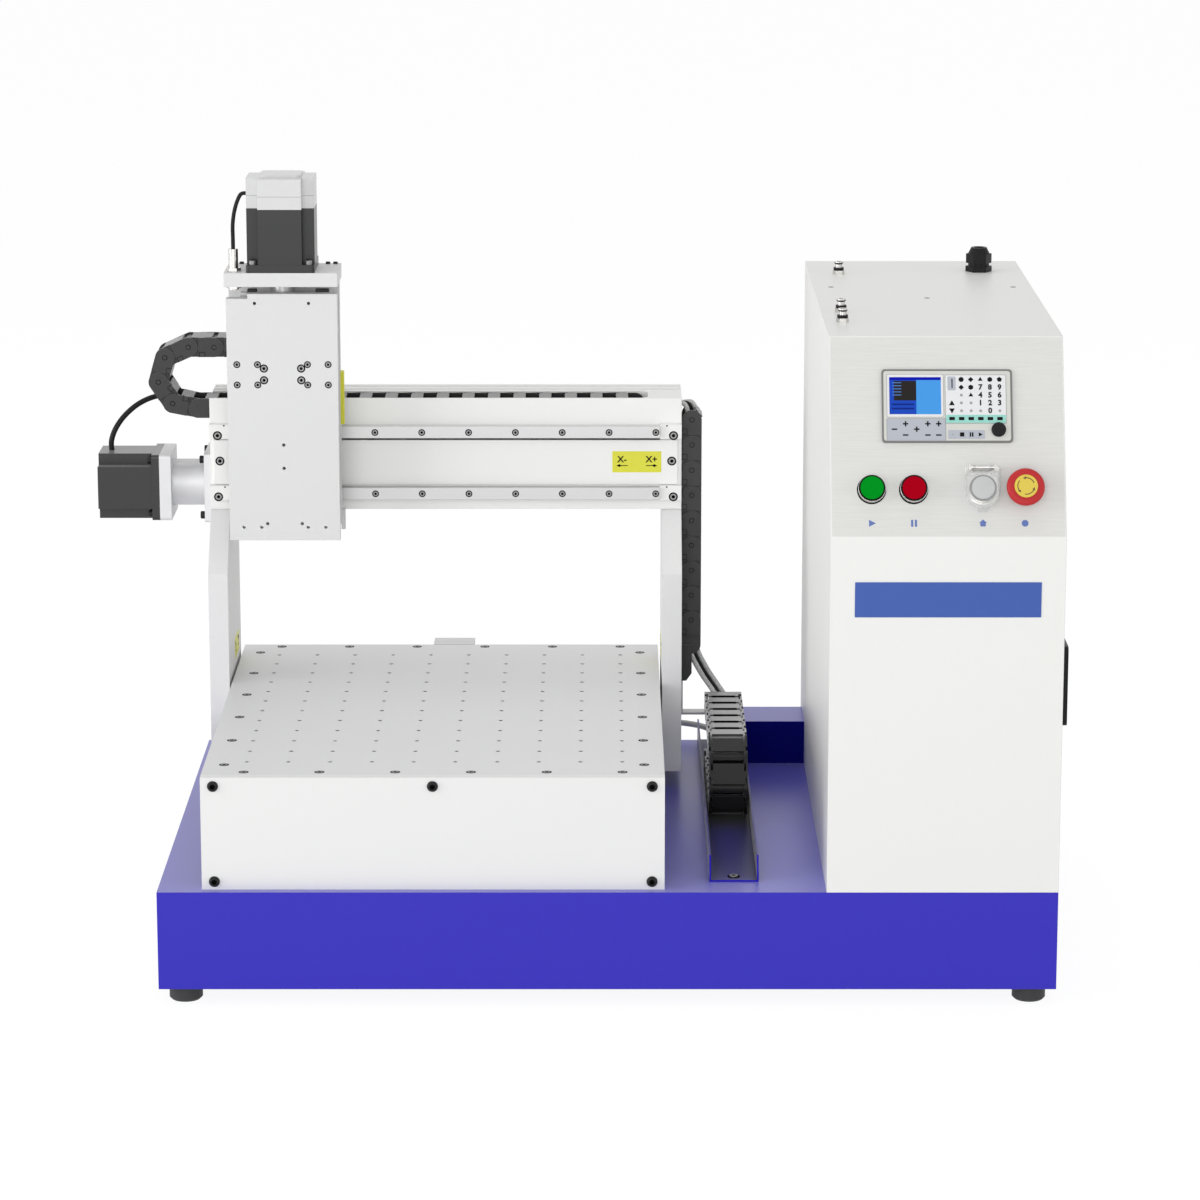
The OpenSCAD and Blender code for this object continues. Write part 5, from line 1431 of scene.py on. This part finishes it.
side_w, side_h, side_corner = side_key
side_place = key_spot(0.5, 0)
ctl_slab("key_side", side_place, side_w, side_h, print_t, side_corner, pad_paint)
ctl_mark("key_side_mark", moved(side_place, side_mark_shift, 0, print_t), *side_mark)

# Jog keys: a grey-blue membrane stuck on the foil below the screen, printed with a plus or a minus at
# each key.
jog_x = 0.361
jog_s = 0.1283
jog_w = 0.068
jog_h = 0.026
jog_sign_l = 0.0064
jog_sign_w = 0.0017
jog_sign_corner = 0.0002
jog_lap = 0.00005
jog_signs = {
    "jog_left": (-0.0255, 0.0005, "-"),
    "jog_rear": (-0.0125, 0.007, "+"),
    "jog_front": (-0.0125, -0.0065, "-"),
    "jog_right": (0.0005, 0.0005, "+"),
    "jog_up": (0.0135, 0.007, "+"),
    "jog_down": (0.0135, -0.0065, "-"),
    "jog_turn": (0.0262, 0.007, "+"),
    "jog_return": (0.0262, -0.0065, "-"),
}
rimmed("jog_rim", "jog_membrane", jog_x, jog_s, jog_w, jog_h, membrane_corner, membrane_rim, pad_paint)
for jog_name, (dx, ds, sign) in jog_signs.items():
    spot = on_foil(jog_x + dx, jog_s + ds, key_out)
    ctl_mark(jog_name + "_level", spot, jog_sign_l, jog_sign_w, jog_sign_corner)
    if sign == "+":
        over = moved(spot, 0, 0, jog_lap)
        ctl_mark(jog_name + "_upright", over, jog_sign_w, jog_sign_l, jog_sign_corner)

# Run keys: four small grey keys below the number keys, printed with a dot, a square, two bars and a
# triangle.
run_x = (0.4035, 0.4145, 0.4255, 0.436)
run_s = 0.1225
run_key = 0.0105
run_corner = 0.0008
run_dot = (0.002, 0.002, 0.0009)
run_square = (0.0050, 0.0050, 0.0002)
bar_shift = 0.0013
bar = np.array([(-0.0009, -0.0026), (0.0009, -0.0026), (0.0009, 0.0026), (-0.0009, 0.0026)])
play = np.array([(-0.0021, -0.0026), (0.0026, 0.0), (-0.0021, 0.0026)])
for index, x in enumerate(run_x):
    ctl_slab(f"run_key_{index}", on_foil(x, run_s), run_key, run_key, membrane_t, run_corner, pad_paint)
run_spots = [on_foil(x, run_s, membrane_t) for x in run_x]
ctl_mark("run_dot", run_spots[0], *run_dot, rim_paint)
ctl_mark("run_square", run_spots[1], *run_square)
ctl_shape("run_bar_left", moved(run_spots[2], -bar_shift, 0), bar)
ctl_shape("run_bar_right", moved(run_spots[2], bar_shift, 0), bar)
ctl_shape("run_triangle", run_spots[3], play)

# Push buttons: coloured moulded caps, with a clear guard that folds up over the third. The stop button
# has a red mushroom head with a yellow disc.
button_s = 0.057
disc_out = 0.0220
disc_r = 0.0136
disc_t = 0.0004
cap_green = coated("cap_green", (0.001, 0.27, 0.016), 0.4, specular=0.0)
cap_red = coated("cap_red", (0.37, 0.001, 0.010), 0.4, specular=0.0)
cap_pale = coated("cap_pale", (0.66, 0.66, 0.66), 0.35, contrast=0.03)
stop_red = coated("stop_red", (0.47, 0.022, 0.026), 0.4, contrast=0.04, specular=0.25)
stop_yellow = coated("stop_yellow", (0.68, 0.52, 0.06), 0.45, contrast=0.04, edge=0.0)
dress(cap_green, "run_button")
dress(cap_red, "pause_button")
dress(cap_pale, "home_button")
dress(stop_red, "stop_head")


def clear_moulding(name, tint, edge_grey, edge_share):
    """Clear plastic: light passes straight through with a faint tint, and walls that are seen edge-on turn
    to a glossy grey."""
    material = bpy.data.materials.new(name)
    material.use_nodes = True
    tree = material.node_tree
    surface = tree.nodes["Principled BSDF"]
    surface.inputs["Base Color"].default_value = (*edge_grey, 1.0)
    surface.inputs["Roughness"].default_value = 0.15
    clear = tree.nodes.new("ShaderNodeBsdfTransparent")
    clear.inputs["Color"].default_value = (*tint, 1.0)
    slant = tree.nodes.new("ShaderNodeLayerWeight")
    slant.inputs["Blend"].default_value = 0.4
    edge_part = maths(tree, "MULTIPLY", edge_share)
    both = tree.nodes.new("ShaderNodeMixShader")
    tree.links.new(slant.outputs["Facing"], edge_part.inputs[0])
    tree.links.new(edge_part.outputs[0], both.inputs["Fac"])
    tree.links.new(clear.outputs[0], both.inputs[1])
    tree.links.new(surface.outputs[0], both.inputs[2])
    tree.links.new(both.outputs[0], tree.nodes["Material Output"].inputs["Surface"])
    return material


def middle_x(node):
    """The x of a frame piece's middle."""
    lo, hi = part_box(node)
    return (lo.x + hi.x) / 2


dress(clear_moulding("guard_clear", (0.97, 0.975, 0.975), (0.55, 0.56, 0.56), 0.45), "home_guard")
stop_x = middle_x("stop_head")
disc_place = on_panel(stop_x, button_s, disc_out)
disc_rows = [(0.0, 0.0), (disc_r, 0.0), (disc_r, disc_t), (0.0, disc_t)]
disc = turned_piece("stop_disc", [disc_place[0]], panel_out, disc_rows, [stop_yellow], sides=40)
fitted(disc, "stop_head")

# Seals: black rubber rings between the bezels and the caps of the first two buttons, a dull ring about the
# third, and a thin black ring of painted shade at the foot of each bezel.
bezel_top = 0.011
seal_size = (0.0137, 0.0156, 0.0006)
home_ring_size = (0.0137, 0.0159, 0.0004)
bezel_shade_size = (0.0160, 0.0171, 0.0005)
seal_and_shade_black = coated("seal_and_shade_black", (0.004, 0.004, 0.004), 0.7, contrast=0.05, edge=0.0, specular=0.1)
ring_grey = coated("ring_grey", (0.33, 0.33, 0.33), 0.4, metallic=0.3, contrast=0.05, edge=0.0)
run_button_x = middle_x("run_button")
pause_button_x = middle_x("pause_button")
home_button_x = middle_x("home_button")


def flat_rings(name, across, out, size, material):
    """Flat rings about the buttons at each x across: size gives both radii and the height."""
    centres = [on_panel(x, button_s, out)[0] for x in across]
    piece = turned_piece(name, centres, panel_out, ring_rows(*size), [material], sides=40)
    return fitted(piece, "base")


flat_rings("button_seals", (run_button_x, pause_button_x), bezel_top, seal_size, seal_and_shade_black)
flat_rings("home_ring", (home_button_x,), bezel_top, home_ring_size, ring_grey)
flat_rings("bezel_foot_shade", (run_button_x, pause_button_x, home_button_x), film_t, bezel_shade_size, seal_and_shade_black)

# Printed symbols: a triangle, two bars, a house and an octagon under the buttons, in blue ink on the
# panel's film.
symbol_s = 0.0172
symbol_r = 0.0042
pause_shift = 0.0022
ink_blue = coated("ink_blue", (0.10, 0.16, 0.42), 0.5, contrast=0.02, edge=0.0)
triangle = [(-0.8, -1.0), (1.1, 0.0), (-0.8, 1.0)]
long_bar = [(-0.3, -1.0), (0.3, -1.0), (0.3, 1.0), (-0.3, 1.0)]
house = [(-0.75, -0.9), (0.75, -0.9), (0.75, 0.1), (1.1, 0.1), (0.0, 1.1), (-1.1, 0.1), (-0.75, 0.1)]
symbols = {
    "symbol_run": (run_button_x, triangle),
    "symbol_pause_left": (pause_button_x - pause_shift, long_bar),
    "symbol_pause_right": (pause_button_x + pause_shift, long_bar),
    "symbol_home": (home_button_x, house),
    "symbol_stop": (stop_x, polygon(8, 1.0, np.pi / 8)),
}
for symbol_name, (x, shape) in symbols.items():
    symbol = flat_shape(symbol_name, on_panel(x, symbol_s, film_t), symbol_r * np.array(shape), ink_blue)
    fitted(symbol, "base")

# Turning arrows: three curved arrows printed in brown on the yellow disc, which turn with the stop's head
# and show how it is released.
curve_r = 0.0098
curve_half = 0.00055
curve_rise = 0.0001
head_half = 0.00176
curve_start = 0.35
curve_sweep = np.linspace(0.0, math.radians(72), 14)
head_sweep = math.radians(20)
arrow_count = 3
print_brown = coated("print_brown", (0.10, 0.05, 0.01), 0.5, contrast=0.02, edge=0.0)
for index in range(arrow_count):
    begin = index * 2 * math.pi / arrow_count + curve_start
    ray = np.stack([np.cos(begin + curve_sweep), np.sin(begin + curve_sweep)], -1)
    band_points = np.stack([(curve_r + curve_half) * ray, (curve_r - curve_half) * ray])
    heights = np.full(band_points.shape[:2], disc_t + curve_rise)
    band_points = placed(band_points, heights, disc_place)
    band = grid_piece(f"turn_arrow_{index}", band_points, [print_brown], around=False)
    tip = begin + curve_sweep[-1]
    head = [(curve_r - head_half, tip), (curve_r + head_half, tip), (curve_r, tip + head_sweep)]
    head_points = [(r * math.cos(t), r * math.sin(t)) for r, t in head]
    point = flat_shape(f"turn_head_{index}", moved(disc_place, 0, 0, disc_t), head_points, print_brown)
    for piece in (band, point):
        fitted(piece, "stop_head")
